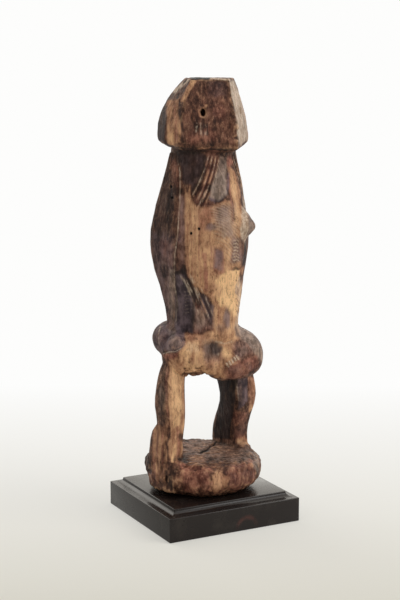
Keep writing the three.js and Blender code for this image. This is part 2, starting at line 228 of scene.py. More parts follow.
@dataclass(frozen=True)
class Patch:
    """A soft-edged oval of one tone, by where it shows in the frame."""

    tone: Tone
    at: tuple[float, float]
    size: tuple[float, float]
    lean: float = 0.0
    strength: float = 1.0
    edge: float = 0.5
    ragged: float = 1.0

    def cover(self, places: np.ndarray) -> np.ndarray:
        """Returns how much of the tone each place takes, from 0 to the patch's strength."""
        lean = math.radians(self.lean)
        offset = places - np.array(self.at)
        across = (offset[:, 0] * math.cos(lean) + offset[:, 1] * math.sin(lean)) / self.size[0]
        down = (-offset[:, 0] * math.sin(lean) + offset[:, 1] * math.cos(lean)) / self.size[1]
        reach = np.hypot(across, down)
        return self.strength * ramp(reach, 1 + self.edge, 1 - self.edge)


@dataclass(frozen=True)
class Zone:
    """An area of one tone inside straight edges, by where it shows in the frame."""

    tone: Tone
    corners: Path
    strength: float = 1.0
    edge: float = 3.0
    ragged: float = 1.0

    def cover(self, places: np.ndarray) -> np.ndarray:
        """Returns how much of the tone each place takes, half of the zone's strength at its edge."""
        gap, _ = path_distance(places, (*self.corners, self.corners[0]))
        inside = np.zeros(len(places), bool)
        for (x0, y0), (x1, y1) in zip(self.corners, (*self.corners[1:], self.corners[0])):
            if y0 != y1:
                crossing = x0 + (places[:, 1] - y0) * (x1 - x0) / (y1 - y0)
                inside ^= ((places[:, 1] < y0) != (places[:, 1] < y1)) & (places[:, 0] < crossing)
        return self.strength * ramp(np.where(inside, gap, -gap), -self.edge, self.edge)


@dataclass(frozen=True)
class Stroke:
    """A streak or line of one tone along a path in the frame."""

    tone: Tone
    path: Path
    width: float
    strength: float = 1.0
    ragged: float = 0.4

    def cover(self, places: np.ndarray) -> np.ndarray:
        """Returns how much of the tone each place takes, fading at the ends."""
        gap, along = path_distance(places, self.path)
        ends = ramp(along, -0.01, 0.1) * ramp(along, 1.01, 0.9)
        return self.strength * ramp(gap, self.width, self.width * 0.3) * ends


@dataclass(frozen=True)
class Cut:
    """A groove or crack along a path in the frame, in millimetres deep and wide. A minus depth raises a rib."""

    path: Path
    width: float
    depth: float
    lip: float = 0.0

    def rise(self, places: np.ndarray) -> np.ndarray:
        """Returns how far the surface moves outwards at each place."""
        gap, along = path_distance(places, self.path)
        ends = ramp(along, -0.02, 0.12) * ramp(along, 1.02, 0.88)
        crest = np.exp(-(((gap - self.width) / (0.55 * self.width)) ** 2))
        return ends * (self.lip * crest - self.depth * ramp(gap, self.width, 0))


@dataclass(frozen=True)
class Swell:
    """A low mound, or a hollow where its height is below 0, by where it shows in the frame."""

    at: tuple[float, float]
    size: tuple[float, float]
    height: float
    lean: float = 0.0
    edge: float = 0.8

    def rise(self, places: np.ndarray) -> np.ndarray:
        """Returns how far the surface moves outwards at each place."""
        return Patch(Tone.BARE, self.at, self.size, self.lean, self.height, self.edge).cover(places)


@dataclass(frozen=True)
class BodyLine:
    """A line carved on the body, by its distance across the front and its height, through a bend."""

    start: tuple[float, float]
    bend: tuple[float, float]
    end: tuple[float, float]
    steps: int = 8

    def path(self) -> Path:
        """Returns points along the line."""
        shares = [step / self.steps for step in range(self.steps + 1)]
        corners = np.array([self.start, self.bend, self.end])
        weights = np.array([[(1 - t) ** 2, 2 * t * (1 - t), t * t] for t in shares])
        return tuple((float(across), float(height)) for across, height in weights @ corners)


BODY_LINES = (
    BodyLine((14, 356), (21.6, 335.5), (30, 314.5)),
    BodyLine((11.2, 356), (18.4, 333.5), (28.6, 308.5)),
    BodyLine((8, 356), (15.6, 331), (29.5, 302)),
    BodyLine((35.6, 247), (29.3, 224), (22.6, 204)),
    BodyLine((33.8, 243), (26.5, 221), (18.8, 198)),
    BodyLine((29.6, 235), (21.5, 217), (15, 199.5)),
)


@dataclass
class Skin:
    """A mesh's surface as arrays: its places in the row frame, the figure's own and the camera's frame."""

    piece: bpy.types.Object
    lens: Lens
    rows: np.ndarray = field(init=False)
    normals: np.ndarray = field(init=False)
    own: np.ndarray = field(init=False)
    own_normals: np.ndarray = field(init=False)
    seen: np.ndarray = field(init=False)
    facing: np.ndarray = field(init=False)

    def __post_init__(self) -> None:
        """Reads the mesh."""
        self.read()

    def own_axes(self, rows: np.ndarray) -> np.ndarray:
        """Turns row-frame vectors into the figure's left, front and up."""
        cos, sin = math.cos(TURN), math.sin(TURN)
        x, y, z = rows.T
        return np.stack([x * cos + y * sin, x * sin - y * cos, z], axis=1)

    def read(self) -> None:
        """Takes the vertices' places and normals from the mesh."""
        mesh = self.piece.data
        count = len(mesh.vertices)
        flat = np.empty(count * 3, np.float32)
        mesh.vertices.foreach_get("co", flat)
        self.rows = flat.reshape(-1, 3).astype(float)
        flat = np.empty(count * 3, np.float32)
        mesh.vertex_normals.foreach_get("vector", flat)
        self.normals = flat.reshape(-1, 3).astype(float)
        self.own = self.own_axes(self.rows) / MM
        self.own_normals = self.own_axes(self.normals)
        self.seen = self.lens.frame_places(self.rows)
        towards = np.array(self.lens.place) - self.rows
        towards /= np.linalg.norm(towards, axis=1, keepdims=True)
        self.facing = ramp((towards * self.normals).sum(axis=1), -0.12, 0.18)

    def push(self, rise: np.ndarray) -> None:
        """Moves the surface outwards.

        Args:
            rise: millimetres along each vertex's normal, inwards where below 0.
        """
        self.rows += self.normals * (rise * MM)[:, None]
        self.piece.data.vertices.foreach_set("co", self.rows.astype(np.float32).ravel())
        self.piece.data.update()
        self.read()

    def keep(self, name: str, values: np.ndarray) -> None:
        """Stores one value for each vertex as a named attribute."""
        attribute = self.piece.data.attributes.new(name, "FLOAT", "POINT")
        attribute.data.foreach_set("value", values.astype(np.float32))

    def curvature(self, rounds: int) -> np.ndarray:
        """Measures how far each vertex stands out from its neighbours.

        Args:
            rounds: how often the measure is averaged with the neighbours'.

        Returns:
            Above 0 on ridges and below 0 in hollows, about -1 to 1.
        """
        mesh = self.piece.data
        ends = np.empty(len(mesh.edges) * 2, np.int64)
        mesh.edges.foreach_get("vertices", ends)
        a, b = ends.reshape(-1, 2).T
        count = np.maximum(np.bincount(ends, minlength=len(self.rows)), 1)

        def averaged(values: np.ndarray) -> np.ndarray:
            """Averages the values of each vertex's neighbours."""
            total = np.bincount(a, values[b], len(self.rows)) + np.bincount(b, values[a], len(self.rows))
            return total / count

        middle = np.stack([averaged(self.rows[:, axis]) for axis in range(3)], axis=1)
        bend = ((self.rows - middle) * self.normals).sum(axis=1)
        for _ in range(rounds):
            bend = 0.4 * bend + 0.6 * averaged(bend)
        return np.clip(bend / (3 * np.std(bend) + 1e-9), -1, 1)


class Nodes:
    """Builds a node tree in few words."""

    def __init__(self, tree: bpy.types.NodeTree) -> None:
        """Starts on an empty tree."""
        self.tree = tree
        tree.nodes.clear()

    def add(self, kind: str, inputs: dict[str | int, object] | None = None, **settings: object) -> bpy.types.Node:
        """Adds a node.

        Args:
            kind: the node's type without ShaderNode.
            inputs: a value or another node's socket for each input, by name or number.
            settings: the node's own settings.

        Returns:
            The node.
        """
        node = self.tree.nodes.new(kind if kind.startswith("Node") else f"ShaderNode{kind}")
        for name, value in settings.items():
            setattr(node, name, value)
        for name, value in (inputs or {}).items():
            if isinstance(value, bpy.types.NodeSocket):
                self.tree.links.new(value, node.inputs[name])
            else:
                node.inputs[name].default_value = value
        return node

    def math(self, operation: str, *values: object) -> bpy.types.NodeSocket:
        """Adds a sum of one, two or three values."""
        return self.add("Math", dict(enumerate(values)), operation=operation).outputs[0]

    def mix(self, share: object, first: object, second: object) -> bpy.types.NodeSocket:
        """Mixes two colours."""
        node = self.add("Mix", {0: share, 6: first, 7: second}, data_type="RGBA")
        return node.outputs[2]

    def spread(self, value: object, low: float, high: float, to: tuple[float, float] = (0, 1)) -> bpy.types.NodeSocket:
        """Maps a value smoothly from one range to another."""
        values = {0: value, 1: low, 2: high, 3: to[0], 4: to[1]}
        return self.add("MapRange", values, interpolation_type="SMOOTHSTEP").outputs[0]

    def blend_of(self, *parts: tuple[bpy.types.NodeSocket, float]) -> bpy.types.NodeSocket:
        """Adds several values together, each times its own weight."""
        total: object = 0.0
        for value, weight in parts:
            total = self.add("Math", {0: value, 1: weight, 2: total}, operation="MULTIPLY_ADD").outputs[0]
        return total

    def group(self, tree: bpy.types.NodeTree, inputs: dict[str, object]) -> bpy.types.NodeOutputs:
        """Places a node group and returns its outputs."""
        node = self.add("Group", node_tree=tree)
        for name, value in inputs.items():
            if isinstance(value, bpy.types.NodeSocket):
                self.tree.links.new(value, node.inputs[name])
            else:
                node.inputs[name].default_value = value
        return node.outputs

    def noise(self, vector: object, scale: object, detail: float = 4, rough: float = 0.55) -> bpy.types.NodeSocket:
        """Adds a noise texture and returns its value."""
        values = {"Vector": vector, "Scale": scale, "Detail": detail, "Roughness": rough}
        return self.add("TexNoise", values).outputs[0]


class SharedLook:
    """The effects that both the wood and the paint use, as node groups."""

    def __init__(self) -> None:
        """Builds each group once."""
        self.grain = self.make_grain()
        self.ragged = self.make_ragged()

    @staticmethod
    def group(name: str, inputs: dict[str, str], outputs: dict[str, str]) -> tuple[bpy.types.NodeTree, Nodes]:
        """Starts a group with its named sockets.

        Args:
            name: the group's name.
            inputs: each input's name and kind.
            outputs: each output's name and kind.

        Returns:
            The group's tree and its builder.
        """
        tree = bpy.data.node_groups.new(name, "ShaderNodeTree")
        for side, sockets in (("INPUT", inputs), ("OUTPUT", outputs)):
            for label, kind in sockets.items():
                tree.interface.new_socket(name=label, in_out=side, socket_type=f"NodeSocket{kind}")
        return tree, Nodes(tree)

    def make_grain(self) -> bpy.types.NodeTree:
        """Grain that runs up the wood: streaks, fibres, pores, flecks and round mottling."""
        tree, nodes = self.group(
            "Upright grain",
            {"Vector": "Vector", "Scale": "Float", "Stretch": "Float"},
            {name: "Float" for name in ("Streak", "Fibre", "Pore", "Fleck", "Mottle")},
        )
        given = nodes.add("NodeGroupInput").outputs
        sway = nodes.add("TexNoise", {"Vector": given["Vector"], "Scale": 22.0, "Detail": 2.0}).outputs["Color"]
        swayed = nodes.add("VectorMath", {0: sway, 1: (0.004, 0.004, 0.004)}, operation="MULTIPLY").outputs[0]
        place = nodes.add("VectorMath", {0: given["Vector"], 1: swayed}, operation="ADD").outputs[0]
        squash = nodes.math("DIVIDE", 1.0, given["Stretch"])
        shape = nodes.add("CombineXYZ", {0: 1.0, 1: 1.0, 2: squash}).outputs[0]
        long = nodes.add("VectorMath", {0: place, 1: shape}, operation="MULTIPLY").outputs[0]
        short = nodes.add("VectorMath", {0: place, 1: (1, 1, 0.45)}, operation="MULTIPLY").outputs[0]
        fine = nodes.math("MULTIPLY", given["Scale"], 4.2)
        results = {
            "Streak": nodes.noise(long, given["Scale"], 5, 0.6),
            "Fibre": nodes.noise(long, fine, 3, 0.6),
            "Pore": nodes.spread(nodes.noise(long, nodes.math("MULTIPLY", given["Scale"], 7.0), 1, 0.5), 0.62, 0.72),
            "Fleck": nodes.noise(short, nodes.math("MULTIPLY", given["Scale"], 2.6), 4, 0.62),
            "Mottle": nodes.noise(given["Vector"], nodes.math("MULTIPLY", given["Scale"], 0.6), 5, 0.62),
        }
        nodes.add("NodeGroupOutput", results)
        return tree

    def make_ragged(self) -> bpy.types.NodeTree:
        """Breaks a soft mask up, so that its edge is torn along the grain as worn patina is."""
        tree, nodes = self.group(
            "Ragged edge",
            {"Mask": "Float", "Break": "Float", "Amount": "Float", "Softness": "Float"},
            {"Mask": "Float"},
        )
        given = nodes.add("NodeGroupInput").outputs
        shift = nodes.math("MULTIPLY", nodes.math("SUBTRACT", given["Break"], 0.5), given["Amount"])
        moved = nodes.math("ADD", given["Mask"], shift)
        low = nodes.math("SUBTRACT", 0.5, given["Softness"])
        high = nodes.math("ADD", 0.5, given["Softness"])
        mask = nodes.add("MapRange", {0: moved, 1: low, 2: high}, interpolation_type="SMOOTHSTEP").outputs[0]
        nodes.add("NodeGroupOutput", {"Mask": mask})
        return tree


@dataclass(frozen=True)
class AgedWood:
    """The carved wood: a dark handled patina worn through to pale brown in places, with painted shade, shadow, sheen
    and highlights laid over it.
    """

    patina: Shade = (linear(50, 32, 25), linear(112, 75, 58))
    rim: Shade = (linear(94, 58, 43), linear(150, 103, 77))
    bare: Shade = (linear(156, 110, 82), linear(222, 174, 132))
    bright: tuple[float, ...] = linear(248, 202, 150)
    red: Shade = (linear(102, 56, 45), linear(176, 116, 96))
    grey: Shade = (linear(122, 104, 92), linear(182, 160, 146))
    dark: Shade = (linear(32, 23, 22), linear(54, 41, 39))
    cool: Shade = (linear(57, 46, 53), linear(118, 100, 106))
    pale: Shade = (linear(184, 156, 130), linear(240, 218, 194))
    pit: tuple[float, ...] = linear(20, 13, 11)
    streak_scale: float = 150.0
    stretch: float = 7.0
    torn: float = 1.1
    softness: float = 0.34
    specular: float = 0.2

    def build(self, shared: SharedLook) -> bpy.types.Material:
        """Makes the material from the piece's own tones and the shared grain.

        Args:
            shared: the groups that every finish uses.

        Returns:
            The finished material.
        """
        material = bpy.data.materials.new("Aged carved wood")
        material.use_nodes = True
        nodes = Nodes(material.node_tree)
        coordinates = nodes.add("TexCoord").outputs["Object"]
        turned = nodes.add("Mapping", {"Vector": coordinates, "Rotation": (0, 0, -TURN)}).outputs[0]
        grain = nodes.group(shared.grain, {"Vector": turned, "Scale": self.streak_scale, "Stretch": self.stretch})
        streak, fibre, fleck, mottle = (grain[name] for name in ("Streak", "Fibre", "Fleck", "Mottle"))
        grit = nodes.noise(turned, 1000.0, 2, 0.6)
        torn = nodes.blend_of((streak, 0.25), (mottle, 0.25), (fleck, 0.35), (fibre, 0.15))

        def mask(tone: Tone, lift: float = 0.0, torn_by: float = self.torn, soft: float = self.softness) -> Socket:
            """Reads one tone's attribute, lifts it and breaks its edge up."""
            kept = nodes.add("Attribute", attribute_name=tone.value).outputs["Fac"]
            values = {"Mask": nodes.math("ADD", kept, lift), "Break": torn, "Amount": torn_by, "Softness": soft}
            return nodes.group(shared.ragged, values)["Mask"]

        def shade(colours: Shade, *parts: tuple[bpy.types.NodeSocket, float]) -> bpy.types.NodeSocket:
            """Varies between a finish's darker and lighter colour."""
            return nodes.mix(nodes.spread(nodes.blend_of(*parts), 0.4, 0.61), *colours)

        bare_mask = mask(Tone.BARE, -0.08)
        colour = shade(self.patina, (streak, 0.3), (mottle, 0.35), (fleck, 0.35))
        colour = nodes.mix(mask(Tone.BARE, 0.15), colour, shade(self.rim, (streak, 0.5), (mottle, 0.5)))
        bare = shade(self.bare, (streak, 0.45), (fibre, 0.25), (mottle, 0.3))
        bare = nodes.mix(mask(Tone.BARE, -0.7), bare, self.bright)
        bare = nodes.mix(nodes.spread(fibre, 0.52, 0.64, (0, 0.36)), bare, self.rim[0])
        colour = nodes.mix(bare_mask, colour, bare)
        relief = nodes.blend_of((fleck, 0.5), (grit, 0.3), (mottle, 0.2))
        # Painted shade in the dips and painted highlight on the crests of the fine relief, which the bump below also
        # raises.
        colour = nodes.mix(nodes.spread(relief, 0.48, 0.34, (0, 0.6)), colour, self.pit)
        colour = nodes.mix(nodes.spread(relief, 0.52, 0.66, (0, 0.34)), colour, self.bare[1])
        layers = (
            (Tone.RED, 0.7, shade(self.red, (fleck, 0.4), (mottle, 0.6))),
            (Tone.DARK, 0.94, shade(self.dark, (streak, 0.6), (mottle, 0.4))),
            (Tone.COOL, 0.8, shade(self.cool, (streak, 0.4), (mottle, 0.6))),
            (Tone.GREY, 0.75, shade(self.grey, (fleck, 0.4), (streak, 0.6))),
            (Tone.PALE, 0.7, shade(self.pale, (fibre, 0.5), (fleck, 0.5))),
        )
        for tone, strength, tint in layers:
            film = nodes.math("MULTIPLY", mask(tone, 0, 0.8, 0.48), strength)
            colour = nodes.mix(film, colour, tint)
        bands = nodes.add("TexWave", {"Vector": turned, "Scale": 185.0, "Distortion": 1.6, "Detail": 1.0,
                                      "Detail Scale": 2.0}, bands_direction="DIAGONAL").outputs["Fac"]
        hatched = nodes.math("MULTIPLY", bands, nodes.add("Attribute", attribute_name=Tone.HATCH.value).outputs["Fac"])
        colour = nodes.mix(nodes.math("MULTIPLY", hatched, 0.36), colour, self.pale[0])
        # Ridges turn lighter, as rubbed wear with a painted edge highlight, and creases turn darker, as painted shade.
        edge = nodes.add("Attribute", attribute_name="edge").outputs["Fac"]
        rubbed = nodes.math("MULTIPLY", nodes.spread(edge, 0.15, 0.9), nodes.spread(mottle, 0.42, 0.65, (0, 0.4)))
        colour = nodes.mix(rubbed, colour, self.bare[1])
        colour = nodes.mix(nodes.spread(edge, -0.12, -0.9, (0, 0.6)), colour, self.pit)
        colour = nodes.mix(nodes.math("MULTIPLY", grain["Pore"], 0.35), colour, self.patina[0])
        pit = nodes.add("Attribute", attribute_name=Tone.PIT.value).outputs["Fac"]
        colour = nodes.mix(nodes.spread(pit, 0.25, 0.75), colour, self.pit)

        rough = nodes.math("ADD", nodes.math("MULTIPLY", bare_mask, 0.14), nodes.spread(relief, 0.4, 0.6, (0.62, 0.46)))
        height = nodes.blend_of((fibre, 0.5), (mottle, 0.4), (fleck, 0.8), (grit, 0.3), (hatched, 0.35))
        bump = nodes.add("Bump", {"Strength": 0.8, "Distance": 0.0014, "Height": height}).outputs[0]
        surface = nodes.add("BsdfPrincipled", {
            "Base Color": colour, "Roughness": rough, "Normal": bump, "Specular IOR Level": self.specular,
        })
        nodes.add("OutputMaterial", {0: surface.outputs[0]})
        return material


@dataclass(frozen=True)
class BlackPaint:
    """The plinth's black satin paint, with a faint grain, rubbed places and a reddish smudge."""

    paint: tuple[float, ...] = linear(30, 23, 21)
    rubbed: tuple[float, ...] = linear(50, 43, 38)
    smudge: tuple[float, ...] = linear(96, 54, 46)

    def build(self, shared: SharedLook) -> bpy.types.Material:
        """Makes the material.

        Args:
            shared: the groups that every finish uses.

        Returns:
            The finished material.
        """
        material = bpy.data.materials.new("Black satin paint")
        material.use_nodes = True
        nodes = Nodes(material.node_tree)
        coordinates = nodes.add("TexCoord").outputs["Object"]
        laid = nodes.add("Mapping", {"Vector": coordinates, "Rotation": (0, math.pi / 2, 0)}).outputs[0]
        grain = nodes.group(shared.grain, {"Vector": laid, "Scale": 90.0, "Stretch": 12.0})
        worn = nodes.group(shared.ragged, {"Mask": 0.22, "Break": grain["Mottle"], "Amount": 1.6, "Softness": 0.3})
        colour = nodes.mix(worn["Mask"], self.paint, self.rubbed)
        smudge = nodes.add("VectorMath", {0: coordinates, 1: (0.012, -0.067, 0.002)}, operation="DISTANCE")
        halo = nodes.spread(nodes.math("ABSOLUTE", nodes.math("SUBTRACT", smudge.outputs["Value"], 0.0105)), 0.0036, 0)
        arch = nodes.spread(nodes.add("SeparateXYZ", {0: coordinates}).outputs["Z"], 0.003, 0.012, (0.1, 1))
        broken = nodes.math("MULTIPLY", halo, nodes.spread(grain["Mottle"], 0.35, 0.6, (0.1, 0.6)))
        broken = nodes.math("MULTIPLY", broken, arch)
        colour = nodes.mix(broken, colour, self.smudge)
        rough = nodes.spread(grain["Mottle"], 0.3, 0.7, (0.2, 0.3))
        height = nodes.blend_of((grain["Fibre"], 0.6), (grain["Mottle"], 0.4))
        bump = nodes.add("Bump", {"Strength": 0.25, "Distance": 0.0002, "Height": height}).outputs[0]
        surface = nodes.add("BsdfPrincipled", {
            "Base Color": colour, "Roughness": rough, "Normal": bump, "IOR": 1.42,
        })
        nodes.add("OutputMaterial", {0: surface.outputs[0]})
        return material


@dataclass
class CarvedFigure:
    """The figure and its round base, one piece of wood."""

    node: str = "female_figure"
    cell: float = 0.00105
    most_faces: int = 190000
    near_eye: tuple[float, float] = (202.5, 112.0)
    borer_holes: Path = ((199.0, 228.3), (191.2, 232.7), (171.1, 186), (172.1, 197))
    top_crack: Path = ((198.5, 453), (203, 451.5), (207.5, 450), (210, 446.5), (213.5, 445.5), (217, 441))
    worn_hip: Path = ((184, 336), (214, 340), (203, 346), (208, 358), (211, 375), (184, 374), (178, 360), (178, 353),
                      (184, 345))

    torn_edge: Path = ((182, 368.5), (207, 366), (208, 381), (182, 381))

    def build(self, lens: Lens, finish: bpy.types.Material) -> bpy.types.Object:
        """Carves the piece finely over the CAD solid's form and dresses it.

        Args:
            lens: the camera, whose frame places the marks.
            finish: the wood.

        Returns:
            The finished piece.
        """
        piece = self.copy_solid()
        apply_modifier(piece, "REMESH", mode="VOXEL", voxel_size=self.cell)
        self.soften(piece)
        skin = Skin(piece, lens)
        self.shape(skin)
        self.carve(skin)
        faces = 2 * len(piece.data.polygons)
        if faces > self.most_faces:
            apply_modifier(piece, "DECIMATE", ratio=self.most_faces / faces)
        only(piece)
        bpy.ops.object.shade_smooth()
        self.paint(Skin(piece, lens))
        piece.data.materials.clear()
        piece.data.materials.append(finish)
        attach(piece, "root")
        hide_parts(self.node)
        return piece

    def copy_solid(self) -> bpy.types.Object:
        """Copies the CAD solid into an object of its own and joins its loose triangles."""
        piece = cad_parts[self.node].copy()
        piece.data = piece.data.copy()
        piece.parent = None
        piece.name = "carved_figure"
        for key in list(piece.keys()):
            del piece[key]
        bpy.context.scene.collection.objects.link(piece)
        only(piece)
        bpy.ops.object.mode_set(mode="EDIT")
        bpy.ops.mesh.select_all(action="SELECT")
        bpy.ops.mesh.remove_doubles(threshold=1e-6)
        bpy.ops.object.mode_set(mode="OBJECT")
        return piece

    def soften(self, piece: bpy.types.Object) -> None:
        """Rounds the body's joins over and leaves the head's planes crisper."""
        heights = np.empty(len(piece.data.vertices) * 3, np.float32)
        piece.data.vertices.foreach_get("co", heights)
        z = heights.reshape(-1, 3)[:, 2] / MM
        group = piece.vertex_groups.new(name="soft")
        weights = 0.12 + 0.88 * ramp(z, 352, 340)
        for index, weight in enumerate(weights):
            group.add([index], float(weight), "REPLACE")
        apply_modifier(piece, "SMOOTH", factor=0.5, iterations=14, vertex_group="soft")
        places = heights.reshape(-1, 3) / MM
        ahead = places[:, 0] * math.sin(TURN) - places[:, 1] * math.cos(TURN)
        across = places[:, 0] * math.cos(TURN) + places[:, 1] * math.sin(TURN)
        seam = piece.vertex_groups.new(name="seam")
        lap = ramp(np.abs(z - 172), 17, 9) * ramp(ahead, 8, 16) * ramp(np.abs(across), 34, 26)
        wrist = ramp(np.abs(z - 176), 25, 17) * ramp(ahead, -2, 5) * ramp(np.abs(across), 28, 34)
        lap = np.maximum(lap, wrist)
        for index, weight in enumerate(lap):
            if weight > 0:
                seam.add([index], float(weight), "REPLACE")
        apply_modifier(piece, "SMOOTH", factor=0.5, iterations=90, vertex_group="seam")
        piece.vertex_groups.clear()

    def shape(self, skin: Skin) -> None:
        """Works the larger unevenness of the carving into the surface."""
        own = skin.own
        z = own[:, 2]
        rise = 0.5 * ripple(own, 34, 3) + 0.3 * ripple(own, (15, 15, 26), 4)
        base = ramp(z, 66, 60)
        rim = base * ramp(np.hypot(own[:, 0], own[:, 1]), 38, 50) * ramp(z, 44, 56)
        rise += base * (0.8 * ripple(own, (20, 20, 30), 7) + 0.4 * ripple(own, (8, 8, 14), 8))
        rise += rim * (1.4 * ripple(own, (9, 9, 7), 9) + 0.7 * ripple(own, (4.5, 4.5, 4), 10) - 0.5)
        for swell in self.swells():
            rise += swell.rise(skin.seen) * skin.facing
        skin.push(rise)

    def swells(self) -> list[Swell]:
        """The mounds and hollows of the side that faces the camera."""
        return [
            Swell((240, 352), (12, 6), -1.2, 24),
            Swell((241, 370), (20, 5), 0.8, -12),
            Swell((213, 351), (8, 10), -3.0),
            Swell((216.5, 350), (4, 7), -1.6),
            Swell((204, 360), (4, 3), -0.9),
            Swell((193, 343), (5, 3), 0.7),
            Swell((188, 362), (3, 4), -0.7),
            Swell((222, 370), (3.5, 9), 1.4, 8),
            Swell((198, 351), (12, 11), -0.8),
            Swell((176, 343), (8, 8), 0.5, 0, 0.95),
            Swell((172, 355), (6, 4), 0.8),
            Swell((218, 262), (4.5, 10), 0.5, -4, 0.4),
            Swell((236, 268.5), (4, 2.4), -1.2, -12),
            Swell((148.5, 472), (3, 2.5), -1.5),
            Swell((180, 460), (9, 6), -1.2, 20),
            Swell((196, 466), (8, 4), 0.8),
            Swell((169.5, 484), (2.6, 8), -1.4, -6),
        ]

    def carve(self, skin: Skin) -> None:
        """Cuts the blade marks, the carved lines, the cracks and the borers' holes."""
        own = skin.own
        z = own[:, 2]
        head = ramp(z, 352, 362)
        base = ramp(z, 68, 60)
        body = 1 - np.maximum(head, base)
        marks = body * 0.3 * scallops(own, (8, 8, 17), 11) + head * 0.3 * scallops(own, (9, 9, 15), 21)
        side = base * ramp(z, 61.5, 58)
        marks += side * (0.8 * scallops(own, (5, 5, 9), 31) + 0.25 * scallops(own, (2.9, 2.9, 5), 34)) + base * 0.6 * ripple(own, (2.8, 2.8, 4), 42)
        marks += 0.16 * ripple(own, (2.6, 2.6, 12), 41) + 0.14 * head * ripple(own, (2.6, 2.6, 3.4), 46)
        marks += (base - side) * 0.5 * ripple(self.grain_across(own), (14, 1.8, 6), 43)
        front = np.stack([np.abs(own[:, 0]), z], axis=1)
        forward = ramp(own[:, 1], 2, 10)
        for line in BODY_LINES:
            marks += forward * Cut(line.path(), 1.5, 0.6, 0.35).rise(front)
        for cut in self.cuts():
            marks += skin.facing * cut.rise(skin.seen)
        worn = Zone(Tone.BARE, self.worn_hip, 1, 2).cover(skin.seen) * skin.facing
        marks += worn * (0.45 * ripple(own, 2.6, 44) - 0.7 * ramp(ripple(own, 3.6, 45), 0.45, 0.8))
        torn = Zone(Tone.BARE, self.torn_edge, 1, 2).cover(skin.seen) * ramp(own[:, 1], 0, 6)
        marks -= torn * 2.2 * ramp(ripple(own, (3.4, 3.4, 5), 47), -0.1, 0.6)
        skin.push(marks)

    def grain_across(self, own: np.ndarray) -> np.ndarray:
        """Turns places so that the first axis follows the grain's ends across the base's top."""
        lean = math.radians(38)
        across, ahead, z = own.T
        return np.stack([across * math.cos(lean) + ahead * math.sin(lean),
                         ahead * math.cos(lean) - across * math.sin(lean), z], axis=1)

    def cuts(self) -> list[Cut]:
        """The cracks and fine cuts of the side that faces the camera."""
        found = [Cut((at, (at[0] + 0.4, at[1] + 1.6)), 1.5, 2.4) for at in self.borer_holes]
        found += [
            Cut(self.top_crack, 1.3, 1.4),
            Cut(((196.5, 453), (201, 451.8), (206, 450.4)), 2.2, 1.0),
            Cut(((231, 190), (232.5, 200), (234, 212), (235, 224)), 1.0, 0.8),
            Cut(((185, 373), (190, 371), (194, 372.5)), 1.3, 1.5),
            Cut(((194, 374), (197, 370.5), (201, 369)), 1.1, 1.4),
            Cut(((161, 354.5), (168, 351), (178, 350.5), (184, 345)), 1.3, 0.9),
            Cut(((184.5, 336), (185, 341), (184, 346)), 1.2, 0.7),
            Cut(((177.5, 168), (179.6, 190), (179.2, 232), (175.8, 250), (174.4, 270), (176.6, 304), (175.6, 328)),
                1.2, 0.35),
        ]
        found += [Cut(((184.5, 292 + 3.4 * i), (191.5, 291 + 3.4 * i)), 0.9, 0.35) for i in range(8)]
        found += [Cut(((232, 241 + 3.4 * i), (236, 239.5 + 3.4 * i), (240, 242 + 3.4 * i)), 1.2, -0.6)
                  for i in range(7)]
        found += [Cut(((235, 276 + 6.5 * i), (239.5, 282 + 6.5 * i)), 0.8, 0.3) for i in range(7)]
        found += [Cut(((226.4 + 2.5 * i, 361.5 - 1.8 * i), (228.4 + 2.5 * i, 366 - 1.8 * i)), 0.8, 0.7)
                  for i in range(5)]
        found += [Cut(((213 + 4 * i, 214 + 2.5 * i), (221 + 4 * i, 207 + 2.5 * i)), 0.8, 0.3) for i in range(6)]
        return found

    def paint(self, skin: Skin) -> None:
        """Stores every tone, painted shade and highlights among them, and the bend of the surface, which the wood
        lightens on ridges as wear and painted highlight and darkens in creases as painted shade.
        """
        own, seen, facing = skin.own, skin.seen, skin.facing
        stray = np.stack([1.8 * ripple(own, (9, 9, 13), 61 + axis) + 1.2 * ripple(own, (3.6, 3.6, 6), 63 + axis)
                          for axis in range(2)], axis=1)
        fine = ripple(own, (9, 9, 26), 52)
        hidden = {
            Tone.BARE: ramp(ripple(own, (30, 30, 60), 51) + 0.5 * fine, 0.1, 0.8),
            Tone.DARK: ramp(ripple(own, (26, 26, 44), 53) + 0.4 * fine, 0.2, 0.8) * 0.8,
            Tone.RED: ramp(ripple(own, (20, 20, 30), 54), 0.0, 0.8) * 0.7,
            Tone.GREY: ramp(ripple(own, (24, 24, 30), 55), 0.35, 0.9) * 0.5,
        }
        shown = {tone: np.zeros(len(own)) for tone in Tone}
        for mark in self.marks():
            cover, kept = mark.cover(seen + mark.ragged * stray), shown[mark.tone]
            shown[mark.tone] = kept + cover if mark.strength < 0 else np.maximum(kept, cover)
        grooves, crests = self.line_tones(own)
        # Painted shade in the grooves of the carved body lines, and a painted highlight on their crests.
        shown[Tone.DARK] = np.maximum(shown[Tone.DARK], 0.45 * grooves)
        shown[Tone.PALE] = np.maximum(shown[Tone.PALE], 0.6 * crests * ramp(ripple(own, (3, 3, 7), 90), -0.7, 0.3))
        for number, tone in enumerate(Tone):
            blotch = 0.1 * ripple(own, (9, 9, 20), 70 + number) + 0.1 * ripple(own, (3.4, 3.4, 8), 80 + number)
            values = facing * (shown[tone] + blotch * (tone not in (Tone.PIT, Tone.HATCH))) + (1 - facing) * hidden.get(tone, 0)
            skin.keep(tone.value, np.clip(values, 0, 1.6))
        skin.keep("edge", skin.curvature(3) * (1 + 0.25 * ramp(own[:, 2], 66, 60)))

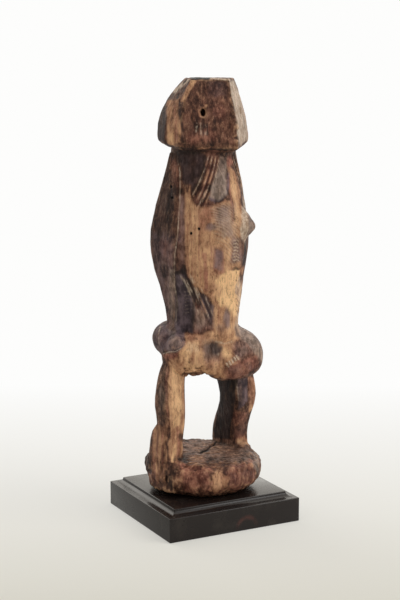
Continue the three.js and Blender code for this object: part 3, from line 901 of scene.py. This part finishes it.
    @staticmethod
    def line_tones(own: np.ndarray) -> tuple[np.ndarray, np.ndarray]:
        """Finds the painted shade in the carved body lines and the painted highlight on the crests beside them, each
        from 0 to 1.
        """
        front = np.stack([np.abs(own[:, 0]), own[:, 2]], axis=1)
        forward = ramp(own[:, 1], 2, 10)
        grooves, crests = np.zeros(len(own)), np.zeros(len(own))
        for line in BODY_LINES:
            gap, along = path_distance(front, line.path())
            ends = forward * ramp(along, 0.0, 0.15) * ramp(along, 1.0, 0.85)
            grooves = np.maximum(grooves, ends * ramp(gap, 1.1, 0.3))
            crests = np.maximum(crests, ends * ramp(np.abs(gap - 1.6), 0.7, 0.1))
        return grooves, crests

    def marks(self) -> list[Patch | Stroke | Zone]:
        """The tones of the side that faces the camera."""
        bare, dark, red, grey, cool, pale, pit, hatch = Tone
        eye_across, eye_down = self.near_eye
        return [
            # The head.
            Zone(bare, ((167, 101), (178, 98), (181, 112), (180.5, 144), (168, 143), (165.5, 124)), 0.64, 2, 0.8),
            Patch(bare, (171.5, 136), (4, 9), 0, 1.15, 0.7),
            Patch(bare, (170.5, 112), (2, 9), 4, 0.9, 0.7),
            Stroke(red, ((174.5, 102), (176, 120), (176, 143)), 2.2, 0.6, 0.8),
            Stroke(bare, ((195, 79), (188, 90), (181.5, 103)), 4, 0.95, 0.8),
            Stroke(pale, ((190, 79), (181, 85), (173, 94)), 1.8, 0.75, 0.8),
            # The head's back facet, which faces away from the light, is dark: partly dark patina, partly painted shade.
            Zone(dark, ((156, 106), (176, 90), (168, 101), (165.5, 124), (165.5, 143), (156, 140)), 0.84, 2),
            Stroke(bare, ((161.5, 108), (161.5, 130), (162.5, 140)), 1.6, 0.6),
            Stroke(dark, ((179.5, 106), (182, 126), (181, 145)), 2.0, 0.65, 0.8),
            Stroke(dark, ((175, 99), (184, 88), (189, 81)), 1.4, 0.6, 0.8),
            Zone(red, ((184, 84), (228, 80), (236, 118), (236, 146), (182, 146)), 0.3, 6),
            Zone(cool, ((206, 80), (227, 80), (228, 97), (207, 98)), 0.35, 3),
            Patch(red, (219, 112), (8, 9), 0, 0.55),
            Patch(red, (208, 134), (11, 9), 0, 0.6),
            Patch(red, (194, 137), (8, 8), 0, 0.6),
            Patch(dark, (193, 128), (7, 8), 0, 0.3),
            Patch(dark, (243, 98), (3, 14), 10, 0.2),
            Patch(bare, (191, 112), (5, 18), 0, 0.3),
            # Pale wood with a painted sheen on the lit right-facing facet of the face.
            Zone(pale, ((229, 82), (234, 80), (241, 97), (248, 127), (249, 139), (240, 146), (237, 133), (236, 118)),
                 0.68, 1.2, 0.2),
            Stroke(bare, ((eye_across - 3.3, eye_down - 4), (eye_across - 3.8, eye_down),
                          (eye_across - 2.6, eye_down + 5)), 1.4, 0.75),
            Patch(bare, (eye_across + 3.4, eye_down - 5.5), (2.6, 1.8), -30, 0.8),
            *[Stroke(tone, ((eye_across + shift + 4.6 * i, eye_down + 10), (eye_across + shift + 4.6 * i, eye_down + 24)),
                     1.0, strength, 0.3)
              for i in range(3) for tone, shift, strength in ((pale, -6.2, 0.6), (dark, -4, 0.75))],
            Stroke(bare, ((196, 147.8), (205, 148.6), (216, 148.2)), 1.0, 0.5, 0.8),
            # Painted shadow along the underside of the brim.
            Stroke(dark, ((162, 143), (176, 147.6), (200, 150.4), (236, 149.5)), 1.8, 0.8),
            # Painted shade in the hollow of the crown.
            Zone(pit, ((190, 74), (210, 74), (209.5, 79.8), (191, 79.8)), 1.3, 0.8, 0.2),
            Stroke(pale, ((209, 78), (219, 78.8), (231, 79.6)), 1.4, 0.8, 0.2),
            # The neck and the chest.
            # Painted shadow on the neck under the head: the dark zone and the red and cool zones on the same outline
            # tint it.
            Zone(dark, ((175, 149), (199, 150), (207, 157), (206, 169), (200, 181), (194, 192), (191, 186),
                        (184, 187), (181, 180), (180.5, 168), (177, 160)), 0.74, 2.5, 0.9),
            Zone(red, ((180, 153), (204, 153), (200, 178), (192, 189), (182, 182)), 0.5),
            Zone(cool, ((180, 153), (204, 153), (200, 178), (192, 189), (182, 182)), 0.3, 4),
            Zone(red, ((205, 150), (220, 150), (214, 175), (204, 198), (196, 206), (193, 200), (203, 178)), 0.7, 3),
            Zone(dark, ((205, 150), (219, 150), (212, 176), (202, 198), (196, 204), (194, 198), (203, 178)), 0.3, 2.5),
            Zone(grey, ((219, 154), (226.5, 156), (226, 188), (227, 194), (218, 201), (210, 197), (210.5, 188),
                        (216, 170)), 0.95, 2.5, 0.5),
            Patch(grey, (221, 160), (5, 13), 10, -0.4, 0.8),
            Stroke(cool, ((207, 196), (214, 201), (221, 199), (228, 190), (228, 170)), 2.4, 0.8, 0.8),
            Patch(red, (230, 162), (3, 6), 0, 1.2),
            Zone(bare, ((228, 166), (235, 172), (239, 190), (242, 214), (241, 230), (235, 226), (233, 205), (230, 190)),
                 1.0, 2.5, 0.6),
            Stroke(red, ((228, 172), (229.5, 186), (232, 206), (234, 226)), 1.6, 0.9, 0.6),
            Zone(bare, ((183.5, 200), (185.5, 190), (187.5, 197), (190, 186), (192, 199), (195, 205), (210, 206), (226, 200), (236, 204), (241, 232), (242, 275),
                        (240, 300), (237, 333), (213, 335), (214, 306), (208, 296), (200, 291), (192, 284), (187, 274),
                        (186, 262), (184.5, 240)), 0.9, 2.5, 0.7),
            Patch(bare, (190, 222), (4, 26), 0, 0.95),
            Zone(red, ((196, 202), (214, 202), (218, 222), (208, 236), (196, 226)), 0.55, 5),
            Zone(pale, ((213, 208), (234, 202), (238, 226), (233, 246), (222, 238), (214, 226)), 0.16, 5),
            Zone(cool, ((213, 208), (232, 204), (236, 240), (222, 238)), 0.7, 5),
            Zone(hatch, ((210, 206), (232, 203), (240, 226), (240, 264), (230, 264), (214, 232)), 1.0, 4),
            Patch(cool, (211, 227), (7, 4), 0, 0.8),
            # Painted sheen on the right-facing flank beside the far breast.
            Zone(pale, ((241, 206), (248, 212), (248.5, 228), (246, 244), (240, 236)), 0.78, 1.6),
            Zone(grey, ((248.5, 214), (256, 224), (254, 235), (247, 240)), 0.6, 1.5, 0.5),
            Zone(dark, ((249, 214), (256, 224), (254, 236), (247.5, 240)), 0.6, 1.5, 0.5),
            # Painted sheen along the torso's right-facing edge below the neck.
            Stroke(pale, ((240.4, 172), (243, 192), (244.5, 210)), 1.8, 0.6, 0.6),
            Stroke(red, ((204.5, 250), (204.8, 268), (205.4, 293)), 2.8, 1.0, 0.8),
            *[Stroke(red, ((across, 206), (across + 0.6, 240), (across + 1.5, 284)), 1.2, 0.6, 0.6)
              for across in (186.6, 190.5, 194.4, 199, 209.6)],
            Patch(red, (216, 290), (5, 9), 0, 0.5),
            Zone(red, ((213, 247), (223, 249), (224.5, 262), (224.5, 273), (217, 275), (212.5, 268), (212, 256)),
                 0.85, 1.8, 0.6),
            Zone(cool, ((214, 248), (223, 250), (224, 264), (222, 272), (214, 268)), 0.75, 2.5, 0.6),
            Patch(dark, (219, 261), (4.4, 10), -4, 0.3, 0.9),
            Zone(bare, ((225, 268), (243, 266), (242, 286), (239, 306), (236, 322), (230, 318), (226, 309),
                        (216, 304), (211, 293), (214, 279)), 1.42, 5, 2.0),
            Patch(bare, (236, 312), (4, 18), 4, 1.1, 0.8),
            Zone(red, ((228, 236), (240, 236), (242, 256), (240, 264), (231, 262)), 0.55, 3),
            Zone(cool, ((230, 236), (241, 236), (243, 262), (232, 264)), 0.72, 3),
            Zone(dark, ((231, 239), (241, 238), (242, 262), (232, 264)), 0.34, 3),
            *[Stroke(pale, ((232.5, 240.5 + 3.4 * i), (236, 239 + 3.4 * i), (239.5, 241.5 + 3.4 * i)), 1.0, 0.8, 0.6)
              for i in range(7)],
            # Painted shade in the gouge, which is also carved by a swell.
            Patch(dark, (236, 269), (4.4, 1.8), -14, 0.8, 0.6, 0.8),
            Stroke(dark, ((245.6, 240), (245, 256), (243.4, 268)), 1.8, 0.8, 0.5),
            Patch(cool, (227.5, 319), (3.6, 11), 0, 0.85),
            Stroke(red, ((219, 304), (219.5, 318), (219, 330)), 2, 0.6, 0.8),
            Patch(cool, (222, 328), (7, 5), 0, 0.5),
            # Painted sheen along the torso's right-facing edge lower down.
            Zone(pale, ((237.5, 276), (243, 274), (242, 300), (239.5, 328), (234.5, 328)), 0.62, 2),
            *[Stroke(red, ((235.5, 279 + 6.2 * i), (240, 285 + 6.2 * i)), 0.9, 0.9, 0.2) for i in range(7)],
            *[Stroke(dark, ((235.5, 279 + 6.2 * i), (240, 285 + 6.2 * i)), 0.7, 0.4, 0.2) for i in range(7)],
            # The arm and the shaded side of the body.
            # The arm faces away from the light: these dark and cool zones are partly patina, partly painted shade.
            Zone(dark, ((160, 156), (170, 166), (174, 200), (173, 240), (150, 240), (150, 200)), 0.6, 6),
            Zone(dark, ((150, 232), (168, 232), (168, 300), (163, 326), (150, 290)), 0.36, 6),
            Zone(cool, ((151, 232), (177, 232), (175.5, 300), (173, 335), (160, 335), (152, 290)), 0.5, 6),
            Zone(bare, ((170, 157), (177, 161), (180, 172), (180, 186), (177, 197), (174, 186)), 0.26, 2.5),
            Zone(red, ((170, 157), (177, 161), (180, 172), (180, 186), (177, 197), (174, 186)), 0.45, 2.5),
            Zone(red, ((158, 238), (171, 242), (172, 264), (160, 264)), 0.55, 5),
            Zone(grey, ((168.5, 266), (174, 268), (176, 300), (176, 333), (178, 346), (171, 346), (169.5, 333)), 0.5, 2),
            Patch(dark, (171.6, 193), (1.8, 7), -6, 1.0),
            Zone(bare, ((179, 196), (184, 196), (184.5, 262), (183, 270), (176, 270), (177.5, 240)), 0.62, 3, 0.8),
            Zone(red, ((179, 196), (184, 196), (184.5, 262), (183, 270), (176, 270), (177.5, 240)), 0.5, 3, 0.8),
            Zone(cool, ((179, 196), (184, 196), (184.5, 262), (183, 270), (176, 270), (177.5, 240)), 0.6, 3, 0.8),
            Zone(dark, ((175, 271), (184, 268), (187.5, 276), (193, 287), (199, 297), (196, 304), (193, 333), (175, 334)),
                 0.86, 2.2, 0.6),
            Zone(cool, ((175, 274), (184, 274), (192, 296), (192, 333), (175, 334)), 0.8, 3),
            *[Stroke(grey, ((184, 292.5 + 3.4 * i), (191.5, 291.5 + 3.4 * i)), 1.0, 0.42, 0.3) for i in range(7)],
            Zone(dark, ((192, 285), (201, 291), (208, 297), (214, 307), (216.5, 326), (210, 331), (205, 312),
                        (198, 299)), 0.36, 2),
            Zone(cool, ((196, 288), (208, 297), (214, 307), (216, 326), (206, 320)), 0.6, 3),
            Zone(grey, ((194, 306), (206, 312), (210, 326), (193, 330)), 0.5, 4),
            Zone(red, ((192, 304), (207, 306), (212, 329), (193, 332)), 0.6, 4),
            Patch(bare, (201, 316), (6, 7), 0, 0.8),
            Zone(cool, ((192, 306), (210, 306), (214, 329), (193, 332)), 0.36, 4),
            # Painted highlight along the arm's inner edge.
            Stroke(pale, ((173, 154.5), (178, 162), (180, 172), (179.8, 203), (177.2, 239.5), (174.6, 255), (174, 281.5), (177, 300.5), (175.8, 334)),
                   0.9, 0.55, 0.1),
            # The hips.
            Zone(cool, ((153, 330), (160, 321), (167, 324), (167, 350), (160, 353), (153, 342)), 0.75, 2.5),
            Stroke(pale, ((160.5, 324), (158.2, 336), (160, 348)), 0.9, 0.5, 0.2),
            Zone(cool, ((166, 330), (184, 331), (185, 345), (178, 352), (164, 351)), 0.95, 2.5),
            Zone(grey, ((167, 332), (183, 334), (182, 348), (168, 350)), 0.35, 3),
            Zone(red, ((167, 334), (183, 336), (182, 350), (168, 350)), 0.5, 3),
            Zone(red, ((163, 354), (180, 351), (176, 358), (166, 360)), 0.9, 1.5, 0.6),
            Stroke(pale, ((162, 354.3), (168, 351.8), (176, 351), (182, 348)), 0.9, 0.65, 0.2),
            Zone(bare, ((184, 336), (240, 330), (238, 342), (229, 362), (228, 380), (186, 374), (180, 360), (178, 353)),
                 0.55, 3, 0.8),
            Zone(bare, self.worn_hip, 1.05, 4, 0.8),
            Zone(bare, ((183, 335), (206, 332), (214, 331), (238, 327), (241, 338), (228, 346), (212, 342), (184, 342)),
                 0.85, 3),
            Zone(red, ((184, 334), (208, 332), (213, 338), (190, 341)), 0.55, 3),
            Patch(pale, (193, 348), (8, 7), 0, 0.4),
            Patch(red, (190, 359), (4, 4), 0, 0.45),
            Patch(red, (201, 364), (8, 7), 0, 0.3),
            # Painted shade in the hollow between the thighs, with a painted grey sheen and a small painted highlight in
            # its middle.
            Patch(grey, (211, 351), (10, 12), -8, 0.3, 0.9),
            Patch(cool, (214, 350), (9, 11), -8, 0.3, 0.9),
            Patch(dark, (212.5, 348), (8, 10.5), -8, 0.74, 0.95, 2.4),
            Patch(dark, (216, 349), (5.5, 8.5), -16, 1.08, 0.95, 2.4),
            Patch(pale, (218.6, 355), (1.4, 2.4), 0, 0.6, 0.8),
            Patch(red, (213, 357), (9, 12), 0, 0.5, 0.9),
            Patch(bare, (226.5, 352), (6, 9), -20, 1.25, 0.8),
            Stroke(pale, ((214, 341), (224, 343), (234, 341)), 1.6, 0.5, 0.8),
            # Painted sheen on the upper right of the far hip's dome.
            Zone(grey, ((236, 327), (252, 333), (263, 350), (263, 366), (256, 352), (244, 341), (236, 336)), 1.0, 3),
            Zone(cool, ((231, 341), (250, 339), (255, 352), (240, 357), (231, 354)), 0.36, 3),
            Zone(grey, ((233, 344), (250, 342), (253, 352), (238, 356)), 0.34, 4),
            Zone(red, ((231, 344), (252, 342), (256, 354), (236, 358)), 0.5, 4),
            Zone(red, ((224, 364), (246, 357), (260, 354), (258, 368), (246, 376), (224, 380)), 0.8, 3),
            Zone(bare, ((228, 367), (250, 361), (251, 372), (232, 376)), 0.4, 3),
            Zone(cool, ((226, 366), (250, 360), (254, 370), (232, 377)), 0.34, 3),
            Zone(bare, ((212, 362), (224, 361), (226, 379), (212, 379)), 0.85, 3),
            Patch(bare, (220, 370), (3.4, 8), 8, 1.15, 0.8),
            Zone(bare, ((170, 357), (182, 354), (186, 374), (170, 372)), 0.8, 3),
            # Painted highlights on the fingers of the far hand.
            *[Stroke(pale, ((226.2 + 2.5 * i, 362.6 - 1.9 * i), (228.8 + 2.5 * i, 367.2 - 1.9 * i)), 1.3, 1.4, 0.1)
              for i in range(5)],
            Stroke(dark, ((184, 374), (194, 373), (206, 373), (214, 378), (224, 381)), 1.6, 0.6),
            # The legs.
            Zone(bare, ((169, 361), (184, 372), (184.5, 400), (184, 434), (170, 436), (169.5, 420), (168, 392)),
                 0.9, 1.8, 0.4),
            Zone(bare, ((170, 430), (184.5, 428), (183, 452), (177, 464), (170, 458)), 0.72, 3, 1.6),
            Zone(bare, ((171, 364), (183, 375), (183.5, 400), (182, 426), (171.5, 430), (170.5, 395)), 1.2, 2, 0.5),
            Stroke(red, ((177, 424), (178.5, 440), (177, 458)), 2.4, 0.7, 0.8),
            Patch(dark, (181, 437), (2.4, 4), 0, 0.6),
            Stroke(bare, ((175, 442), (174, 452), (172, 464)), 2.4, 1.25, 0.5),
            Stroke(dark, ((170, 430), (168, 446), (167.5, 462)), 1.4, 0.6, 0.8),
            # Painted shade on the near leg's outer side.
            Patch(dark, (162, 396), (3, 18), 0, 0.42),
            Patch(grey, (162, 392), (5, 26), 0, 0.3, 0.8),
            Stroke(red, ((166.5, 366), (166, 392), (168, 420)), 1.6, 0.6, 0.5),
            Zone(bare, ((152, 424), (167, 424), (169, 466), (162, 484), (150, 478), (150, 440)), 0.5, 4),
            *[Stroke(red, ((across, 428), (across - 1, 450), (across - 0.5, 480)), 1.6, 0.6, 1.2)
              for across in (154, 158.5, 163.5)],
            Stroke(dark, ((159, 430), (157, 452), (158, 480)), 1.4, 0.5, 1.2),
            # Painted shade over the far leg's left face, which is in shadow.
            Zone(dark, ((216, 380), (236.8, 381), (233.4, 410), (229, 438), (214, 438), (217.5, 410)), 1.4, 1.5, 0.2),
            Zone(cool, ((237, 378), (247.5, 378), (247, 402), (238, 411)), 0.85, 1.5, 0.5),
            # Painted highlight along the edge of the far leg's front facet.
            Stroke(pale, ((237.4, 384), (238, 396), (239.5, 406)), 0.9, 0.42, 0.2),
            Zone(bare, ((247.5, 376), (257, 378), (258, 402), (249, 413)), 0.6, 1.5),
            Zone(red, ((247.5, 376), (257, 378), (258, 402), (249, 413)), 0.5, 2),
            Patch(bare, (251.5, 409), (1.8, 4.5), 10, 1.2),
            Zone(red, ((233, 411), (248, 412), (247, 440), (233, 440)), 0.55, 3),
            Zone(dark, ((229, 422), (246, 422), (246, 436), (229, 436)), 0.5, 4),
            Patch(bare, (236.5, 423), (2.2, 2), 0, 0.9),
            Zone(bare, ((233, 440), (246, 435), (252, 446), (241, 447)), 0.85, 2.5),
            # The base.
            Zone(grey, ((184, 440), (216, 436), (250, 446), (256, 458), (240, 466), (200, 458), (184, 454)), 0.34, 5),
            Zone(bare, ((184, 440), (216, 436), (240, 444), (240, 456), (200, 456), (184, 452)), 0.36, 5),
            Patch(bare, (196, 459), (8, 4), 0, 0.42, 0.9),
            Zone(bare, ((176, 466), (252, 460), (254, 480), (232, 493), (190, 493), (174, 486)), 0.3, 4),
            Zone(bare, ((214, 474), (221, 471), (228, 474), (226, 485), (220, 493), (210, 492), (213, 483)),
                 0.8, 2.5, 2.4),
            Zone(red, ((214, 474), (229, 472), (228, 486), (222, 494), (209, 493)), 0.34, 3, 2),
            Patch(bare, (181, 480), (5, 3.4), -30, 0.7, 0.8, 2),
            Patch(bare, (192, 474), (4, 2.6), 20, 0.66, 0.8, 2),
            Patch(bare, (199, 490), (5, 2.4), 10, 0.7, 0.8, 2),
            Patch(bare, (243, 470), (5, 2.4), -24, 0.6, 0.8, 2),
            Zone(bare, ((172, 470), (188, 466), (200, 488), (178, 492)), 0.26, 5, 1.2),
            Zone(red, ((226, 468), (254, 460), (257, 478), (240, 490), (228, 490)), 0.95, 4, 1.6),
            Zone(red, ((178, 464), (212, 468), (210, 492), (184, 492)), 0.9, 5, 1.6),
            Zone(dark, ((226, 470), (256, 462), (258, 478), (240, 492), (228, 492)), 0.36, 5, 2),
            Stroke(dark, ((172, 464), (192, 463), (216, 466), (240, 467)), 2.2, 0.25, 2),
            Stroke(dark, ((205, 470), (208, 480), (205, 492)), 2.0, 0.35, 2),
            Patch(dark, (204, 486), (5, 4), 0, 0.4),
            Zone(bare, ((156, 456), (166, 456), (168, 484), (158, 482)), 0.4, 4),
            Zone(dark, ((144, 466), (154, 470), (157, 488), (146, 482)), 0.5, 3),
            Zone(red, ((146, 470), (156, 472), (158, 488), (147, 480)), 0.7, 3),
            Zone(grey, ((252, 446), (259, 452), (259, 474), (253, 468)), 0.7, 3),
            Patch(dark, (169.5, 484), (2.4, 8), -6, 0.6, 0.7),
            Stroke(pit, self.top_crack, 1.0, 0.75, 0.7),
            Patch(dark, (201.5, 451.6), (5, 1.8), -14, 0.85, 0.6, 0.8),
            Stroke(dark, ((147.5, 452), (146.8, 460), (149, 472)), 2.2, 0.8),
            # Painted shade inside the borers' holes.
            *[Patch(pit, (across, down + 0.6), (1.3, 1.6), 0, 1.0, 0.3, 0) for across, down in self.borer_holes],
        ]


@dataclass
class Plinth:
    """The square plinth: an upright slab, a flat lip, a hollow moulding and the smaller top."""

    node: str = "plinth"
    slab_height: float = 0.0234
    lip: float = 0.0022
    inset: float = 0.0096
    bead: float = 0.0009
    cove_steps: int = 8
    rounding: float = 0.0008

    def build(self, finish: bpy.types.Material) -> bpy.types.Object:
        """Builds the plinth from a cube by insets and extrusions, and dresses it.

        Args:
            finish: the paint.

        Returns:
            The finished piece.
        """
        low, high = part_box(self.node)
        size = high - low
        bpy.ops.object.select_all(action="DESELECT")
        bpy.ops.mesh.primitive_cube_add(size=1, location=(0, 0, self.slab_height / 2))
        piece = bpy.context.object
        piece.name = "painted_plinth"
        piece.scale = (size.x, size.y, self.slab_height)
        bpy.ops.object.transform_apply(location=True, rotation=True, scale=True)
        bpy.ops.object.mode_set(mode="EDIT")
        self.pick_top(piece)
        bpy.ops.mesh.inset(thickness=self.lip)
        rise, run = high.z - self.bead - self.slab_height, self.inset - self.lip
        before_run, before_rise = 0.0, 0.0
        for step in range(1, self.cove_steps + 1):
            angle = math.pi / 2 * step / self.cove_steps
            here_run, here_rise = run * math.sin(angle), rise * (1 - math.cos(angle))
            self.step_up(size, self.lip + before_run, here_run - before_run, here_rise - before_rise)
            before_run, before_rise = here_run, here_rise
        self.step_up(size, self.inset, 0.0, self.bead)
        bpy.ops.object.mode_set(mode="OBJECT")
        apply_modifier(piece, "BEVEL", width=self.rounding, segments=3, limit_method="ANGLE",
                       angle_limit=math.radians(35))
        only(piece)
        bpy.ops.object.shade_smooth_by_angle(angle=math.radians(40))
        piece.data.materials.clear()
        piece.data.materials.append(finish)
        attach(piece, "root")
        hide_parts(self.node)
        return piece

    @staticmethod
    def pick_top(piece: bpy.types.Object) -> None:
        """Selects the face that looks up."""
        bpy.ops.mesh.select_mode(type="FACE")
        bpy.ops.mesh.select_all(action="DESELECT")
        shape = bmesh.from_edit_mesh(piece.data)
        for face in shape.faces:
            face.select_set(face.normal.z > 0.9)
        bmesh.update_edit_mesh(piece.data)

    @staticmethod
    def step_up(size: Vector, inset: float, run: float, rise: float) -> None:
        """Extrudes the selected top by one step of the moulding.

        Args:
            size: the plinth's overall size.
            inset: how far in from the slab's sides the top now stands.
            run: how much further in it goes.
            rise: how much higher it goes.
        """
        bpy.ops.mesh.extrude_region_move(TRANSFORM_OT_translate={"value": (0, 0, rise)})
        if run:
            width, depth = size.x - 2 * inset, size.y - 2 * inset
            shrink = ((width - 2 * run) / width, (depth - 2 * run) / depth, 1)
            bpy.ops.transform.resize(value=shrink, center_override=(0, 0, 0))


@dataclass(frozen=True)
class Studio:
    """The pale floor and the soft lights."""

    floor_colour: tuple[float, ...] = linear(222, 219, 208)
    white: tuple[float, ...] = linear(253, 253, 252)
    wall_white: tuple[float, ...] = (1.45, 1.38, 1.26, 1)
    window: tuple[float, ...] = (2.9, 2.8, 2.6, 1)
    window_at: tuple[float, float, float] = (-0.184, 0.87, 0.457)
    wall_low: tuple[float, ...] = (2.2, 2.15, 2.0, 1)
    wall_grey: tuple[float, ...] = (0.5, 0.48, 0.45, 1)
    wall_shade: tuple[float, ...] = (0.1, 0.09, 0.08, 1)
    view: tuple[float, float, float] = (0.4650, 0.8853, 0.0)
    side: tuple[float, float, float] = (0.8853, -0.4650, 0.0)
    horizon: tuple[float, float] = (0.55, 1.7)
    near_glow: tuple[float, ...] = linear(244, 241, 233)
    fade: tuple[float, float] = (-0.24, 0.52)

    def build(self) -> None:
        """Adds the floor, the lights and the surroundings."""
        self.build_floor()
        self.add_light("key", (0.95, -1.15, 1.05), (0, 0, 0.2), 1.2, 12)
        self.add_light("fill", (-1.5, -0.9, 0.9), (0, 0, 0.2), 1.6, 3).visible_glossy = False
        self.add_light("back", (-0.5, 1.5, 1.4), (0, 0, 0.2), 1.2, 7).visible_glossy = False
        self.add_light("top", (0, 0, 1.9), (0, 0, 0), 1.6, 8)
        world = bpy.data.worlds.new("Studio white")
        bpy.context.scene.world = world
        world.use_nodes = True
        nodes = Nodes(world.node_tree)
        rays = nodes.add("LightPath").outputs
        towards = nodes.add("TexCoord").outputs["Generated"]
        ahead = nodes.add("VectorMath", {0: towards, 1: self.view}, operation="DOT_PRODUCT").outputs["Value"]
        across = nodes.add("VectorMath", {0: towards, 1: self.side}, operation="DOT_PRODUCT").outputs["Value"]
        height = nodes.add("SeparateXYZ", {0: towards}).outputs["Z"]
        side = nodes.math("MAXIMUM", nodes.spread(across, -0.3, 0.0, (0.2, 1)), nodes.spread(height, 0.14, 0.34))
        lit = nodes.math("MULTIPLY", nodes.spread(ahead, -0.1, 0.5), side)
        room = nodes.mix(nodes.spread(across, 0.0, 0.7), self.wall_shade, self.wall_grey)
        room = nodes.mix(nodes.spread(height, 0.5, 0.9), room, self.wall_grey)
        wall = nodes.mix(lit, room, self.wall_white)
        low_right = nodes.math("MULTIPLY", nodes.spread(height, 0.34, 0.2), nodes.spread(across, -0.1, 0.1))
        wall = nodes.mix(nodes.math("MULTIPLY", low_right, nodes.spread(ahead, 0.7, 0.9)), wall, self.wall_low)
        off = nodes.add("VectorMath", {0: towards, 1: self.window_at}, operation="DISTANCE").outputs["Value"]
        wall = nodes.mix(nodes.spread(off, 0.36, 0.2), wall, self.window)
        soft = nodes.mix(rays["Is Glossy Ray"], (0.45, 0.45, 0.44, 1), wall)
        colour = nodes.mix(rays["Is Camera Ray"], soft, self.white)
        surround = nodes.add("Background", {"Color": colour, "Strength": 1.0})
        nodes.add("OutputWorld", {0: surround.outputs[0]})
        bpy.context.scene.view_settings.view_transform = "Standard"

    def build_floor(self) -> None:
        """Adds a wide floor that fades into the white surroundings."""
        bpy.ops.object.select_all(action="DESELECT")
        bpy.ops.mesh.primitive_circle_add(vertices=64, radius=9, fill_type="NGON", location=(0, 0, -0.0002))
        floor = bpy.context.object
        floor.name = "floor"
        material = bpy.data.materials.new("Pale floor")
        material.use_nodes = True
        nodes = Nodes(material.node_tree)
        place = nodes.add("TexCoord").outputs["Object"]
        away = nodes.add("VectorMath", {0: place, 1: self.view}, operation="DOT_PRODUCT").outputs["Value"]
        far = nodes.add("MapRange", {0: away, 1: self.fade[0], 2: self.fade[1]}).outputs[0]
        far = nodes.math("POWER", far, 0.6)
        reach = nodes.add("VectorMath", {0: place}, operation="LENGTH").outputs["Value"]
        around = nodes.math("MULTIPLY", nodes.spread(reach, *self.horizon), nodes.add("LightPath").outputs[0])
        far = nodes.math("MAXIMUM", far, around)
        plain = nodes.add("BsdfDiffuse", {"Color": self.floor_colour})
        seen_in_gloss = nodes.math("MULTIPLY", nodes.add("LightPath").outputs["Is Glossy Ray"], 0.32)
        glow = nodes.add("Emission", {"Color": nodes.mix(far, self.near_glow, self.white),
                                      "Strength": nodes.math("SUBTRACT", 1.0, seen_in_gloss)})
        joined = nodes.add("MixShader", {0: far, 1: plain.outputs[0], 2: glow.outputs[0]})
        nodes.add("OutputMaterial", {0: joined.outputs[0]})
        floor.data.materials.append(material)

    @staticmethod
    def add_light(name: str, place: tuple[float, ...], aim: tuple[float, ...], size: float,
                  power: float) -> bpy.types.Object:
        """Adds a square soft light.

        Args:
            name: the light's name.
            place: where it stands, in metres.
            aim: the point that it looks at.
            size: the length of its side.
            power: in watts.

        Returns:
            The light.
        """
        bpy.ops.object.light_add(type="AREA", location=place)
        light = bpy.context.object
        light.name = name
        light.data.shape = "SQUARE"
        light.data.size = size
        light.data.energy = power
        light.rotation_euler = (Vector(aim) - Vector(place)).to_track_quat("-Z", "Y").to_euler()
        return light


def main() -> None:
    """Builds the camera, the pieces and the studio in order, and reports each."""
    logging.basicConfig(level=logging.INFO, format="%(name)s: %(message)s")
    lens = Lens()
    lens.build()
    shared = SharedLook()
    builders: list[tuple[str, Callable[[], bpy.types.Object]]] = [
        ("plinth", lambda: Plinth().build(BlackPaint().build(shared))),
        ("figure", lambda: CarvedFigure().build(lens, AgedWood().build(shared))),
    ]
    for name, build in builders:
        piece = build()
        LOG.info("%s: %s with %d faces", name, piece.name, len(piece.data.polygons))
    Studio().build()


if __name__ == "__main__":
    main()
